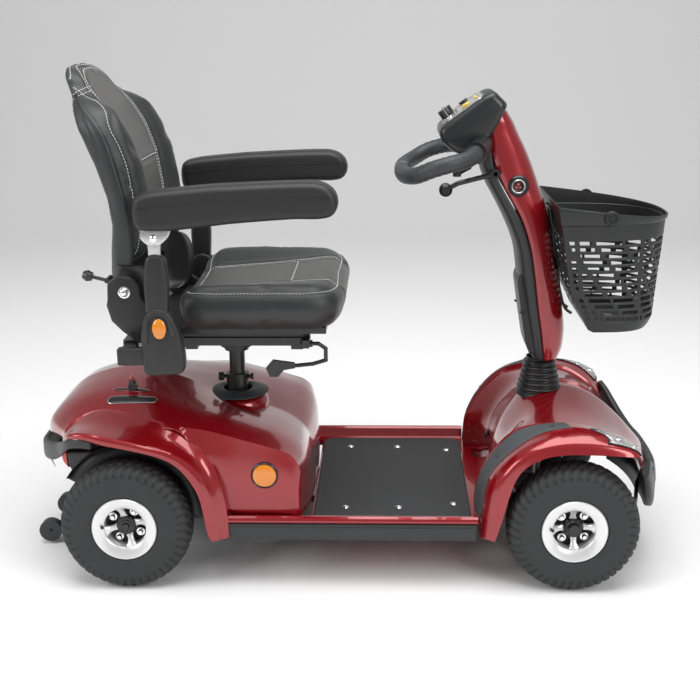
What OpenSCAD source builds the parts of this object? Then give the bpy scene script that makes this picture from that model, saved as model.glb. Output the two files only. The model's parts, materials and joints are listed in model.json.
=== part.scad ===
// Four-wheel mobility scooter with a swivelling armchair seat, a steering tiller and a basket.
// X runs forward, Y to the rider's left, Z up from the ground. Lengths along X are counted
// from the rear axle, and placed() then centres the whole scooter on the origin.

/* [Wheels] */
// Distance between the rear and the front axle
wheelbase = 875; // [840:1:960]
// Distance between the middle planes of the left and right wheels
track = 500; // [490:1:560]
// Outer diameter of the four tyres
tyre_d = 260; // [240:1:264]
// Width of a tyre
tyre_w = 80; // [60:1:84]
// Diameter of the rim, where the tyre's bead sits
rim_d = 128; // [110:1:140]
// Diameter of the drive shafts and of the front stub axles
axle_d = 17; // [14:1:20]
// Diameter of the two anti-tip rollers
roller_d = 48; // [30:1:54]

/* [Body] */
// Width over the fenders
body_w = 570; // [560:1:640]
// Wall of the moulded cowls and covers
wall = 3; // [2:0.5:5]
// Height of the rear deck at its highest point
rear_deck_z = 380; // [370:1:400]
// Height of the front cowl under the gaiter
front_deck_z = 341; // [336:1:343]

/* [Floor] */
// Height of the footboard under its mat
floor_z = 127; // [122:1:134]
// Width of the footboard over its sills
floor_w = 540; // [520:1:560]
// Width of the rubber mat
mat_w = 460; // [400:1:480]
// Thickness of the rubber mat
mat_t = 4; // [2:0.5:6]

/* [Steering] */
// Diameter of the steering shaft
shaft_d = 24; // [18:1:28]
// Height of the tilt pin inside the gaiter
tilt_z = 368; // [366:1:372]
// Rearward lean of the mast, in degrees
mast_lean = 7.5; // [5:0.5:9]
// Width of the tiller's covers
tiller_w = 128; // [110:1:140]
// Width over the handlebar loop
handlebar_w = 372; // [330:1:400]
// Diameter of the handlebar's grip
grip_d = 32; // [26:1:34]

/* [Basket] */
// Width of the basket
basket_w = 300; // [240:1:360]
// Wall of the basket
basket_wall = 3; // [2:0.5:5]

/* [Seat] */
// Distance from the rear axle forward to the seat post
seat_x = 195; // [190:1:200]
// Diameter of the inner seat post
post_d = 33; // [28:1:36]
// Width of the seat cushion
cushion_w = 470; // [400:1:480]
// Width of the backrest
back_w = 430; // [360:1:440]
// Height of the backrest's top edge
back_top_z = 1006; // [960:1:1060]
// Width over the armrest pads
arms_w = 584; // [570:1:640]
// Width of one armrest pad
arm_pad_w = 68; // [50:1:70]

/* [Fits] */
// Radial clearance of a shaft that turns or slides in its bore
run_gap = 0.06; // [0.02:0.01:0.1]
// Clearance between neighbouring pieces
gap = 0.5; // [0.3:0.1:0.8]

/* [Hidden] */
$fn = 64;
front_x = wheelbase;                  // the front axle
steer_x = wheelbase - 42;             // the steering shaft
wheel_z = tyre_d / 2;
half_track = track / 2;
half_body = body_w / 2;
nose_x = wheelbase + 193;             // the front cowl's nose
bumper_t = 12;
roller_x = -211;
rear_end = roller_x - roller_d / 2;
front_end = nose_x + bumper_t;
mid_x = (rear_end + front_end) / 2;   // the middle of the whole scooter
kingpin_y = half_track - 60;
arm_len = 60;                         // steering arms, all of one length
rod_z = wheel_z + 2;
rail_y = 80;
rail_w = 35;
rail_z = 78;
rail_h = 30;
rail_top = rail_z + rail_h;
mat_x0 = 362;
mat_x1 = wheelbase - 193;
deck_x0 = 345;
deck_x1 = wheelbase - 190;
frame_z = 450;                        // underside of the seat's swivel plate
pan_z = 500;                          // underside of the seat pan
hinge_x = 12;                         // the backrest's hinge
hinge_z = 587;
arm_x = 86;                           // the armrests' flip pivot
arm_z = 703;
arm_y = arms_w / 2 - arm_pad_w / 2;
dish_z = 325;
dish_r = 65;
lever_x = -8;                         // the freewheel lever's pivot
lever_y = -111;
lever_z = 250;

// ---- helpers -------------------------------------------------------------------------------

// Moves a piece from the rear axle's place to the scooter's middle
module placed() translate([-mid_x, 0, 0]) children();

// Repeats a piece on the other side
module both_sides() {
    children();
    mirror([0, 1, 0]) children();
}

// Keeps a piece on the left for side = 1 and mirrors it to the right for side = -1
module on_side(side) {
    if (side > 0) children();
    else mirror([0, 1, 0]) children();
}

// Extrudes an outline in X and Z from y0 to y1
module side_slab(y0, y1) translate([0, y1, 0]) rotate([90, 0, 0])
    linear_extrude(height = y1 - y0) children();

// Extrudes an outline in Y and Z from x0 to x1
module end_slab(x0, x1) translate([x0, 0, 0]) rotate([90, 0, 90])
    linear_extrude(height = x1 - x0) children();

// A box between two corners
module block(a, b) translate(a) cube(b - a);

// A round bar along X, Y or Z
module bar_x(r, x0, x1, y, z) translate([x0, y, z]) rotate([0, 90, 0]) cylinder(r = r, h = x1 - x0);
module bar_y(r, y0, y1, x, z) translate([x, y1, z]) rotate([90, 0, 0]) cylinder(r = r, h = y1 - y0);
module bar_z(r, z0, z1, x, y) translate([x, y, z0]) cylinder(r = r, h = z1 - z0);

// A round bar between two points
module rod(a, b, r) {
    d = b - a;
    len = norm(d);
    translate(a) rotate([0, acos(d[2] / len), atan2(d[1], d[0])]) cylinder(r = r, h = len);
}

// A bent round bar with ball corners a little proud of the bar
module ball_rod(points, r) {
    for (i = [0 : len(points) - 2]) rod(points[i], points[i + 1], r);
    for (i = [1 : len(points) - 2]) translate(points[i]) sphere(r = 1.04 * r);
}

function unit(v) = v / norm(v);

// The half of space ahead of a point along a direction, or behind it
module half_space(p, dir, ahead) {
    reach = 300;
    translate(p) rotate([0, acos(dir[2]), atan2(dir[1], dir[0])])
        translate([-reach, -reach, ahead ? 0 : -2 * reach]) cube(2 * reach);
}

// A bent twelve-sided bar through a list of points, mitred at each corner
module bent_rod(points, r) {
    $fn = 12;
    last = len(points) - 1;
    for (i = [0 : last - 1]) {
        a = points[i];
        b = points[i + 1];
        u = unit(b - a);
        intersection() {
            rod(a - (i > 0 ? 2 * r : 0) * u, b + (i < last - 1 ? 2 * r : 0) * u, r);
            if (i > 0) half_space(a, unit(unit(a - points[i - 1]) + u), true);
            if (i < last - 1) half_space(b, unit(u + unit(points[i + 2] - b)), false);
        }
    }
}

// The half outline given, closed by its mirror image
function mirrored(half) =
    concat(half, [for (i = [len(half) - 1 : -1 : 0]) [-half[i][0], half[i][1]]]);
function mirrored_plan(half) =
    concat(half, [for (i = [len(half) - 1 : -1 : 0]) [half[i][0], -half[i][1]]]);

// ---- wheels --------------------------------------------------------------------------------

// Places a wheel drawn about its own centre, with its outer face along +Y
module wheel_at(x, side) translate([x, side * half_track, wheel_z]) on_side(side) children();

module tyre() {
    crown_r = 0.59 * tyre_w;
    rotate([90, 0, 0]) rotate_extrude()
        intersection() {
            translate([rim_d / 2 + gap / 2, -tyre_w / 2])
                square([(tyre_d - rim_d) / 2 - gap / 2, tyre_w]);
            translate([rim_d / 2 + 28, 0]) circle(r = crown_r);
        }
}

module rim(driven) {
    barrel_t = 7;
    barrel_w = tyre_w - 6;
    web_t = 10;
    hub_r = 22;
    difference() {
        union() {
            difference() {
                bar_y(rim_d / 2, -barrel_w / 2, barrel_w / 2, 0, 0);
                bar_y(rim_d / 2 - barrel_t, -barrel_w, barrel_w, 0, 0);
            }
            difference() {
                bar_y(rim_d / 2 - 1, 5, 5 + web_t, 0, 0);
                for (i = [0 : 3]) rotate([0, 45 + 90 * i, 0]) bar_y(12, 0, 20, 42, 0);
            }
            bar_y(hub_r, -30, 22, 0, 0);
            for (i = [0 : 3]) rotate([0, 90 * i, 0]) bar_y(4.5, 15, 20, 32, 0);
            if (driven) bar_y(axle_d / 2, 62 - half_track, 26, 0, 0);
            if (driven) bar_y(axle_d / 2 + 3.5, 22, 31, 0, 0);
        }
        if (!driven) bar_y(axle_d / 2 + run_gap, -31, 23, 0, 0);
    }
}

module front_left_tyre() color("dimgray") placed() wheel_at(front_x, 1) tyre();
module front_right_tyre() color("dimgray") placed() wheel_at(front_x, -1) tyre();
module rear_left_tyre() color("dimgray") placed() wheel_at(0, 1) tyre();
module rear_right_tyre() color("dimgray") placed() wheel_at(0, -1) tyre();
module front_left_rim() color("silver") placed() wheel_at(front_x, 1) rim(false);
module front_right_rim() color("silver") placed() wheel_at(front_x, -1) rim(false);
module rear_left_rim() color("silver") placed() wheel_at(0, 1) rim(true);
module rear_right_rim() color("silver") placed() wheel_at(0, -1) rim(true);

roller_z = roller_d / 2 + 6;
roller_y = 62;
roller_axle_r = 4;

module anti_tip_rollers() color("dimgray") placed()
    both_sides() difference() {
        bar_y(roller_d / 2, roller_y, roller_y + 18, roller_x, roller_z);
        bar_y(roller_axle_r + run_gap, roller_y - 1, roller_y + 19, roller_x, roller_z);
    }

// ---- chassis -------------------------------------------------------------------------------

beam_y = kingpin_y - 22;              // inner face of the kingpin yokes
pin_r = 8;
yoke_top = wheel_z + 36;
yoke_low = wheel_z - 36;
head_r = shaft_d / 2 + 7;
head_z0 = 176;
head_z1 = 316;
tower_z = 185;
battery_x = 108;

module kingpin_yoke() {
    block([front_x - 14, beam_y - 6, yoke_low], [front_x + 14, beam_y + 2, yoke_top]);
    for (z = [yoke_low, yoke_top - 9])
        block([front_x - 14, beam_y - 6, z], [front_x + 14, kingpin_y + 14, z + 9]);
    bar_z(pin_r, yoke_low, yoke_top, front_x, kingpin_y);
}

module chassis_frame() color("dimgray") placed() {
    difference() {
        union() {
            both_sides() {
                block([-70, rail_y - rail_w / 2, rail_z], [front_x + 14, rail_y + rail_w / 2, rail_top]);
                // saddle under the axle tube
                block([-24, rail_y - 15, rail_top - 1], [24, rail_y + 15, wheel_z - 6]);
                // seat tower legs
                block([seat_x - 30, 34, rail_z], [seat_x + 30, 40, tower_z - 8]);
                kingpin_yoke();
                // battery tray shelf
                block([battery_x - 4, 40, rail_top - 1], [battery_x + 196, 178, rail_top + 3]);
                // anti-tip arms
                rod([-62, 52, rail_z + 12], [roller_x, 52, roller_z], 7);
                // stays for the controller and the rear cowl
                block([-68, 84, rail_top - 1], [-60, 92, 214]);
                bar_y(roller_axle_r, 40, roller_y + 22, roller_x, roller_z);
            }
            for (x = [-70, 165, 400, 600, 760])
                block([x, -rail_y, rail_z], [x + 24, rail_y, rail_top - 4]);
            block([seat_x - 30, -40, tower_z - 8], [seat_x + 30, 40, tower_z]);
            block([seat_x - 30, -60, rail_z], [seat_x + 30, 60, rail_top - 4]);
            // controller shelf
            block([-150, -92, 210], [-60, 92, 214]);
            // front beam and head tube
            block([front_x - 14, -beam_y, rail_top - 1], [front_x + 14, beam_y, wheel_z + 20]);
            bar_z(head_r, head_z0, head_z1, steer_x, 0);
            block([steer_x + head_r - 1.4, -18, wheel_z + 10], [front_x + 10, 18, head_z1 - 8]);
            // freewheel lever's bracket and pin
            block([lever_x - 12, lever_y + 7.5, rail_top - 1], [lever_x + 12, lever_y + 12, lever_z + 12]);
            block([lever_x - 12, lever_y + 7.5, rail_top - 8], [lever_x + 12, -rail_y, rail_top]);
            bar_y(4, lever_y - 9, lever_y + 8, lever_x, lever_z);
        }
        both_sides() bar_y(19.2, 0, 210, 0, wheel_z);
        bar_z(shaft_d / 2 + run_gap, head_z0 - 1, head_z1 + 1, steer_x, 0);
        bar_y(60, -42, 42, 0, wheel_z);
    }
}

module transaxle() color("gray") placed() difference() {
    union() {
        bar_y(56, -38, 38, 0, wheel_z);
        bar_y(30, -58, 58, 0, wheel_z);
        bar_y(18.9, -205, 205, 0, wheel_z);
        bar_x(34, 0, 64, 0, wheel_z);
    }
    both_sides() bar_y(axle_d / 2 + run_gap, 60, 206, 0, wheel_z);
}

module drive_motor() color("darkslategray") placed() {
    bar_x(31, 64.2, 148, 0, wheel_z + 1);
    bar_x(24, 148, 160, 0, wheel_z + 1);
}

module batteries() color("black") placed()
    both_sides() block([battery_x, 47, rail_top + 3.2], [battery_x + 192, 174, rail_top + 150]);

module controller() color("slategray") placed() {
    block([-142, -62, 214.2], [-70, 62, 246]);
    for (x = [-134 : 12 : -78]) block([x, -60, 245.5], [x + 4, 60, 254]);
}

tube_r = post_d / 2 + 5.5;
clamp_z = 352;

module seat_post_tube() color("black") placed() difference() {
    union() {
        bar_z(tube_r, tower_z + 0.2, clamp_z, seat_x, 0);
        bar_z(tube_r + 14, tower_z + 0.2, tower_z + 8, seat_x, 0);
        bar_z(tube_r + 2, clamp_z - 8, clamp_z + 12, seat_x, 0);
        // clamp screws, front and back
        bar_x(4, tube_r + seat_x, tube_r + seat_x + 8, 0, clamp_z + 3);
        bar_x(7, tube_r + seat_x + 6, tube_r + seat_x + 12, 0, clamp_z + 3);
        bar_x(4, seat_x - tube_r - 8, seat_x - tube_r, 0, clamp_z + 3);
        bar_x(9, seat_x - tube_r - 18, seat_x - tube_r - 7, 0, clamp_z + 3);
    }
    bar_z(post_d / 2 + run_gap, tower_z - 1, clamp_z + 13, seat_x, 0);
}

module post_dish() color("black") placed() difference() {
    union() {
        bar_z(dish_r, dish_z + 0.3, dish_z + 8, seat_x, 0);
        bar_z(tube_r + 6, dish_z + 0.3, dish_z + 14, seat_x, 0);
    }
    bar_z(tube_r + gap, dish_z - 1, dish_z + 15, seat_x, 0);
}

// ---- rear cowl -----------------------------------------------------------------------------

rear_side = [[-204, 190], [-206, 225], [-198, 270], [-178, 306], [-140, 345], [-95, rear_deck_z - 10],
             [-45, rear_deck_z], [20, rear_deck_z - 8], [80, rear_deck_z - 29], [130, rear_deck_z - 50],
             [200, rear_deck_z - 72], [260, 290], [308, 268], [338, 240], [352, 205], [360, 165],
             [362, 131.3], [330, 131.3], [160, 131.3], [120, 190]];
rear_front = mirrored([[0, 100], [half_body, 100], [half_body, 262], [half_body - 4, 290],
                       [half_body - 22, 318], [half_body - 65, 348], [half_body - 135, 370],
                       [half_body - 215, rear_deck_z - 1]]);
rear_plan = mirrored_plan([[-207, 0], [-204, 80], [-190, 140], [-160, 200], [-124, 262],
                           [-108, half_body], [154, half_body], [205, half_body - 27],
                           [225, half_body - 36], [342, half_body - 38], [352, 205], [359, 120]]);
rear_arch = [[-300, -10], [-300, 326], [-107, 324], [-54, 314], [3, 304], [60, 288], [97, 270],
             [125, 239], [143, 204], [152, 162], [158, 114], [158, -10]];
marker_x = 274;
marker_z = 230;

// The rear cowl's outer form, grown outward by g
module rear_form(g = 0) intersection() {
    side_slab(-400, 400) offset(delta = g) polygon(rear_side);
    end_slab(-400, 600) offset(delta = g) polygon(rear_front);
    linear_extrude(height = 500) offset(delta = g) polygon(rear_plan);
}

module tail_lamp_zone(g = 0)
    both_sides() block([-260, 148 - g, 214 - g], [-130 + g, 196 + g, 250 + g]);

module rear_cowl() color("firebrick") placed() difference() {
    union() {
        difference() {
            rear_form();
            rear_form(-wall);
            // open underneath
            block([-230, -300, 90], [159, 300, 193]);
            block([150, -half_body + 38 + wall, 90], [357, half_body - 38 - wall, 140]);
            both_sides() side_slab(208, 400) polygon(rear_arch);
            both_sides() block([150, half_floor - sill_w - 1.2, 90], [400, 400, 150]);
            bar_z(dish_r - 8, 200, 400, seat_x, 0);
        }
        // boss that carries the seat post's dish
        difference() {
            bar_z(dish_r - 5, 300, dish_z, seat_x, 0);
            bar_z(dish_r - 8, 290, dish_z + 1, seat_x, 0);
        }
    }
    bar_z(dish_r + 1, dish_z, 420, seat_x, 0);
    tail_lamp_zone(0.3);
    // slot for the freewheel lever
    block([-46, lever_y - 9, 300], [30, lever_y + 9, 420]);
}

module tail_lamps() color("red") placed() difference() {
    intersection() {
        rear_form();
        tail_lamp_zone();
    }
    rear_form(-14);
}

module side_markers() color("orange") placed()
    both_sides() bar_y(27, half_body - 36, half_body - 29, marker_x, marker_z);

module rear_bumper() color("dimgray") placed() {
    difference() {
        rear_form(8);
        rear_form(0.4);
        block([-300, -400, 212], [500, 400, 500]);
        block([-300, -400, 60], [500, 400, 196]);
        block([-60, -400, 60], [500, 400, 500]);
        both_sides() block([-112, 196, 60], [0, 400, 500]);
    }
    // inner walls of the rear wheel arches, up to the cowl
    both_sides() difference() {
        intersection() {
            side_slab(203.5, 206.5) polygon([[-150, 196], [-150, 400], [142, 400], [142, 165], [120, 150],
                                             [60, 215], [0, 228], [-60, 215], [-110, 190]]);
            rear_form(-wall - 0.3);
        }
        bar_y(60, 150, 300, 0, wheel_z);
    }
    both_sides() block([-125, 195, 196], [-108, 204, 212]);
}

module freewheel_lever() color("black") placed() difference() {
    union() {
        bar_y(10, lever_y - 6, lever_y + 7, lever_x, lever_z);
        block([lever_x - 5, lever_y - 6, lever_z], [lever_x + 5, lever_y + 6, 366]);
        bar_y(9, lever_y - 6, lever_y + 6, lever_x + 3, 368);
    }
    bar_y(4 + run_gap, lever_y - 8, lever_y + 8, lever_x, lever_z);
}

// ---- floor ---------------------------------------------------------------------------------

sill_w = 17;
half_floor = floor_w / 2;

module floor_tray() color("firebrick") placed() difference() {
    union() {
        block([deck_x0 + 19, -half_floor + sill_w, floor_z - 6], [deck_x1 + 4, half_floor - sill_w, floor_z]);
        // raised sills along both sides
        both_sides() end_slab(160, deck_x1)
            polygon([[half_floor - sill_w - 0.5, 136], [half_floor - 4, 136], [half_floor, 140],
                     [half_floor, 146], [half_floor - 5, 150], [half_floor - sill_w - 0.5, 150]]);
        both_sides() block([deck_x0 + 19, half_floor - sill_w - 4, floor_z - 6],
                           [deck_x1, half_floor - sill_w + 0.1, 149]);
        // brackets onto the frame rails
        for (x = [400, 600]) both_sides()
            block([x, rail_y - 10, rail_top + 0.2], [x + 24, rail_y + 10, floor_z - 5]);
    }
    screw_holes();
}

screw_places = [[429, 172], [537, 172], [649, 153]];

module screw_holes() both_sides() for (p = screw_places)
    bar_z(3.5, floor_z - 20, floor_z + 20, p[0], p[1]);

screw_head_r = 7;
screw_sink = 1.8;                     // depth of the recess for a screw's head

module floor_mat() color("darkslategray") placed() difference() {
    block([mat_x0 + 2.5, -mat_w / 2, floor_z + 0.2], [mat_x1, mat_w / 2, floor_z + mat_t]);
    screw_holes();
    both_sides() for (p = screw_places)
        bar_z(screw_head_r + 0.4, floor_z + mat_t - screw_sink, floor_z + mat_t + 1, p[0], p[1]);
}

// The heads end just below the mat's face, so the floor is flat for a foot
module floor_screws() color("silver") placed() both_sides() for (p = screw_places) {
    bar_z(screw_head_r, floor_z + mat_t - screw_sink + 0.2, floor_z + mat_t - 0.1, p[0], p[1]);
    bar_z(3.2, floor_z - 14, floor_z + mat_t - screw_sink + 1, p[0], p[1]);
}

module side_skirts() color("dimgray") placed() both_sides() {
    side_slab(half_floor - 14, half_floor - 3)
        polygon([[162, 100], [166, 96], [300, 96], [304, 100], [deck_x1 - 6, 100], [deck_x1 - 2, 104],
                 [deck_x1 - 2, 135.7], [162, 135.7]]);
}

// ---- front cowl ----------------------------------------------------------------------------

top_f = front_deck_z;
front_side = [[front_x - 183, 108], [front_x - 187, 170], [front_x - 182, 214], [front_x - 160, 262],
              [front_x - 112, 314], [front_x - 88, top_f - 3], [front_x - 42, top_f],
              [front_x + 2, top_f], [front_x + 45, top_f - 8], [front_x + 88, 308],
              [front_x + 144, 255], [front_x + 178, 214], [nose_x - 1, 187], [nose_x, 150],
              [nose_x - 12, 112]];
front_front = mirrored([[0, 100], [half_body, 100], [half_body, 280], [half_body - 10, 292],
                        [half_body - 45, 314], [half_body - 85, 331], [half_body - 165, top_f - 1],
                        [half_body - 225, top_f + 2]]);
front_plan = mirrored_plan([[front_x - 188, 0], [front_x - 187, half_body], [front_x + 115, half_body],
                            [front_x + 135, 250], [front_x + 165, 180], [nose_x - 8, 90], [nose_x, 0]]);
arch_r = tyre_d / 2 + 28;
collar_r = 50;

// The front cowl's outer form, grown outward by g
module front_form(g = 0) intersection() {
    side_slab(-400, 400) offset(delta = g) polygon(front_side);
    end_slab(400, 1300) offset(delta = g) polygon(front_front);
    linear_extrude(height = 500) offset(delta = g) polygon(front_plan);
}

module wheel_well() {
    translate([front_x, kingpin_y, wheel_z]) sphere(r = arch_r);
    bar_y(arch_r, kingpin_y, half_body + 20, front_x, wheel_z);
}

module headlamp_zone(g = 0)
    both_sides() block([front_x + 66 - g, 112 - g, 262 - g], [front_x + 200, half_body - 44 + g, 318 + g]);

module front_cowl() color("firebrick") placed() difference() {
    front_form();
    difference() {
        front_form(-wall);
        block([600, -400, 0], [front_x - 150, 400, 118]);
    }
    block([front_x - 170, -half_body + wall, 90], [nose_x - 20, half_body - wall, 116]);
    both_sides() wheel_well();
    headlamp_zone(0.3);
    bar_z(collar_r + gap, 250, 400, steer_x, 0);
    // the footboard reaches under the riser
    block([600, -half_floor - 1, 90], [deck_x1 + 6, half_floor + 1, 150.5]);
}

module headlamps() color("whitesmoke") placed() difference() {
    intersection() {
        front_form();
        headlamp_zone();
    }
    front_form(-16);
    both_sides() wheel_well();
}

module grip_pads() color("dimgray") placed() intersection() {
    difference() {
        front_form(2.5);
        front_form(0.3);
        both_sides() wheel_well();
    }
    both_sides() block([600, 150, 158], [front_x - 25, 250, 400]);
}

module front_bumper() color("dimgray") placed() difference() {
    linear_extrude(height = 212) offset(delta = bumper_t) polygon(front_plan);
    linear_extrude(height = 500, center = true) offset(delta = 0.6) polygon(front_plan);
    block([500, -400, -1], [1300, 400, 94]);
    block([500, -400, -1], [front_x + 158, 400, 300]);
    end_slab(900, 1300) polygon(mirrored([[0, 180], [60, 188], [130, 214], [130, 400], [0, 400]]));
}

module gaiter() color("black") placed() difference() {
    union() {
        for (i = [0 : 6]) {
            r = collar_r - 5 - 2.6 * i;
            bar_z(r, front_deck_z - 18 + 11 * i, front_deck_z - 11 + 11 * i, steer_x, 0);
            bar_z(r - 5, front_deck_z - 18 + 11 * i, front_deck_z - 7 + 11 * i, steer_x, 0);
        }
        bar_z(collar_r - 1, front_deck_z - 20, front_deck_z - 15, steer_x, 0);
    }
    bar_z(25.2, 0, 500, steer_x, 0);
}

// ---- steering ------------------------------------------------------------------------------

tilt_pin_r = 6;
ear_y = 14;

module steering_shaft() color("gray") placed() difference() {
    union() {
        bar_z(shaft_d / 2, 118, 342, steer_x, 0);
        bar_z(shaft_d / 2 + 5, rod_z + 18, head_z0 - 0.5, steer_x, 0);
        bar_z(shaft_d / 2 + 5, head_z1 + 0.5, head_z1 + 8, steer_x, 0);
        bar_z(24.5, tilt_z - 36, tilt_z - 26, steer_x, 0);
        both_sides() {
            block([steer_x - 12, ear_y, tilt_z - 30], [steer_x + 12, ear_y + 6, tilt_z]);
            bar_y(12, ear_y, ear_y + 6, steer_x, tilt_z);
        }
        // pitman arm
        block([steer_x - arm_len, -9, rod_z + 9], [steer_x, 9, rod_z + 17]);
        bar_z(11, rod_z + 9, rod_z + 17, steer_x - arm_len, 0);
    }
    bar_y(tilt_pin_r + run_gap, -30, 30, steer_x, tilt_z);
    bar_z(5 + run_gap, rod_z, rod_z + 30, steer_x - arm_len, 0);
}

module knuckle(side) translate([front_x, 0, 0]) on_side(side) difference() {
    union() {
        bar_z(15, yoke_low + 9.5, yoke_top - 9.5, 0, kingpin_y);
        bar_y(axle_d / 2 + 4, kingpin_y + 8, half_track - 31, 0, wheel_z);
        bar_y(axle_d / 2, kingpin_y + 8, half_track + 28, 0, wheel_z);
        bar_y(axle_d / 2 + 3, half_track + 22.6, half_track + 31, 0, wheel_z);
        block([-arm_len, kingpin_y - 8, rod_z + 9], [0, kingpin_y + 8, rod_z + 17]);
        bar_z(11, rod_z + 9, rod_z + 17, -arm_len, kingpin_y);
    }
    bar_z(pin_r + run_gap, 0, 300, 0, kingpin_y);
    bar_z(5 + gap, rod_z, rod_z + 30, -arm_len, kingpin_y);
}

module left_knuckle() color("gray") placed() knuckle(1);
module right_knuckle() color("gray") placed() knuckle(-1);

// One rod joins the pitman arm to both knuckle arms, and moves without turning
module track_rod() color("silver") placed() {
    ball = [steer_x - arm_len, 0, rod_z];
    end = [front_x - arm_len, kingpin_y, rod_z];
    both_sides() {
        rod(ball, end, 6);
        bar_z(8, rod_z - 7, rod_z + 8.5, end[0], end[1]);
        bar_z(5, rod_z, rod_z + 20, end[0], end[1]);
    }
    bar_z(8, rod_z - 7, rod_z + 8.5, ball[0], 0);
    bar_z(5, rod_z, rod_z + 20, ball[0], 0);
}

// ---- tiller --------------------------------------------------------------------------------

mast_w = 28;
mast_len = 420;
tiller_half = tiller_w / 2;
sx = steer_x;
tiller_outline = [[sx - 20, 404], [sx - 33, 436], [sx - 46, 522], [sx - 57, 606], [sx - 71, 678],
                  [sx - 99, 723], [sx - 124, 760], [sx - 138, 806], [sx - 124, 856], [sx - 84, 912],
                  [sx - 57, 869], [sx - 25, 790], [sx + 5, 699], [sx + 16, 627], [sx + 34, 543],
                  [sx + 44, 457], [sx + 43, 420], [sx + 34, 404]];
// Everything in front of this line is the painted cover
front_part = [[sx + 6, 300], [sx + 2, 404], [sx - 8, 470], [sx - 20, 560], [sx - 34, 640],
              [sx - 60, 708], [sx - 92, 760], [sx - 112, 810], [sx - 122, 860], [sx - 150, 960],
              [sx + 200, 960], [sx + 200, 300]];

socket_r = 8;
socket_x = sx - 63;
socket_z = 766;

module tiller_mast() color("dimgray") placed() {
    bar_y(tilt_pin_r, -23, 23, steer_x, tilt_z);
    translate([steer_x, 0, tilt_z]) rotate([0, -mast_lean, 0]) {
        bar_y(15, -13.5, 13.5, 0, 0);
        block([-11, -13.5, 0], [11, 13.5, 40]);
        difference() {
            block([-mast_w / 2, -20, 37], [mast_w / 2, 20, mast_len]);
            block([-mast_w / 2 + 3, -17, 46], [mast_w / 2 - 3, 17, mast_len + 1]);
        }
    }
}

module tiller_shell() difference() {
    side_slab(-tiller_half, tiller_half) polygon(tiller_outline);
    side_slab(-tiller_half + wall, tiller_half - wall) offset(delta = -wall) polygon(tiller_outline);
    // mouth over the gaiter
    block([sx - 28, -tiller_half + wall, 380], [sx + 39, tiller_half - wall, 412]);
    console_solid(0.4);
}

module tiller_front_cover() color("firebrick") placed() difference() {
    union() {
        intersection() {
            tiller_shell();
            side_slab(-200, 200) polygon(front_part);
        }
        // charging socket on the rider's right
        bar_y(socket_r + 4, -tiller_half - 5, -tiller_half + 14, socket_x, socket_z);
    }
    bar_y(socket_r, -tiller_half - 6, -tiller_half + 12, socket_x, socket_z);
}

module tiller_rear_cover() color("dimgray") placed() {
    difference() {
        tiller_shell();
        side_slab(-200, 200) offset(delta = 0.3) polygon(front_part);
        both_sides() handle_socket(gap);
    }
    // pin that carries the tilt lever
    bar_y(4, -83, 1 - tiller_half, tilt_lever_x + 12, tilt_lever_z);
}

console_outline = [[sx - 221, 868], [sx - 217, 881], [sx - 128, 945], [sx - 114, 948], [sx - 86, 921],
                   [sx - 104, 888], [sx - 122, 858], [sx - 143, 826], [sx - 186, 826], [sx - 212, 850]];
console_half = 74;
// The panel's tilt, from its rear edge up to its apex
panel_tilt = atan2(64, 89);

module console_solid(g = 0) side_slab(-console_half - g, console_half + g)
    offset(delta = g) polygon(console_outline);

// Draws in the panel's own plane: X up the slope, Z out of it
module on_panel() translate([sx - 217, 0, 881]) rotate([0, -panel_tilt, 0]) children();

module handle_socket(g = 0) rod(handle_points[0], handle_points[1], grip_d / 2 + g);

module console_housing() color("dimgray") placed() {
    console_shell();
    // pin that carries the speed paddles
    bar_z(5, paddle_z - 9, 828, paddle_x, 0);
}

module console_shell() difference() {
    console_solid();
    side_slab(-console_half + wall, console_half - wall) offset(delta = -wall) polygon(console_outline);
    both_sides() handle_socket(gap);
    on_panel() for (p = control_places) bar_z(p[2] + 1, -20, 10, p[0], p[1]);
}

// Places of the speed knob, key, horn and lamp switches on the panel, with their stem radii
control_places = [[24, 0, 5], [24, -46, 5], [64, -44, 8], [64, 44, 8]];
panel_t = 2.5;

module console_panel() color("silver") placed() on_panel() difference() {
    block([6, -console_half + 8, 0.2], [102, console_half - 8, panel_t]);
    for (p = control_places) bar_z(p[2] + run_gap + 0.02, -20, 10, p[0], p[1]);
}

module speed_knob() color("black") placed() on_panel() {
    bar_z(5, -12, 8, 24, 0);
    bar_z(14, panel_t + gap, 20, 24, 0);
    block([22, -14, 19.5], [26, 14, 22]);
}

module ignition_key() color("silver") placed() on_panel() {
    bar_z(5, -12, 5, 24, -46);
    bar_z(8, panel_t + gap, 6, 24, -46);
    block([22.8, -55, 6], [25.2, -37, 24]);
}

module push_button(x, y) on_panel() {
    bar_z(8, -6, 7, x, y);
    bar_z(10, panel_t + 2.5, 7, x, y);
}

module horn_button() color("black") placed() push_button(64, -44);
module lamp_button() color("black") placed() push_button(64, 44);

half_grip = (handlebar_w - grip_d) / 2;
handle_points = [[sx - 135, 55, 848], [sx - 160, 112, 832], [sx - 188, half_grip - 12, 822],
                 [sx - 223, half_grip, 820], [sx - 250, half_grip - 14, 806],
                 [sx - 274, half_grip - 62, 793], [sx - 288, half_grip - 120, 791],
                 [sx - 289, 0, 791]];

module handlebar() color("gray") placed()
    bent_rod(concat(handle_points, [for (i = [len(handle_points) - 2 : -1 : 0])
        [handle_points[i][0], -handle_points[i][1], handle_points[i][2]]]), grip_d / 2);

// The speed paddles pivot below the console, in front of the handlebar
paddle_x = sx - 165;
paddle_z = 812;

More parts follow.
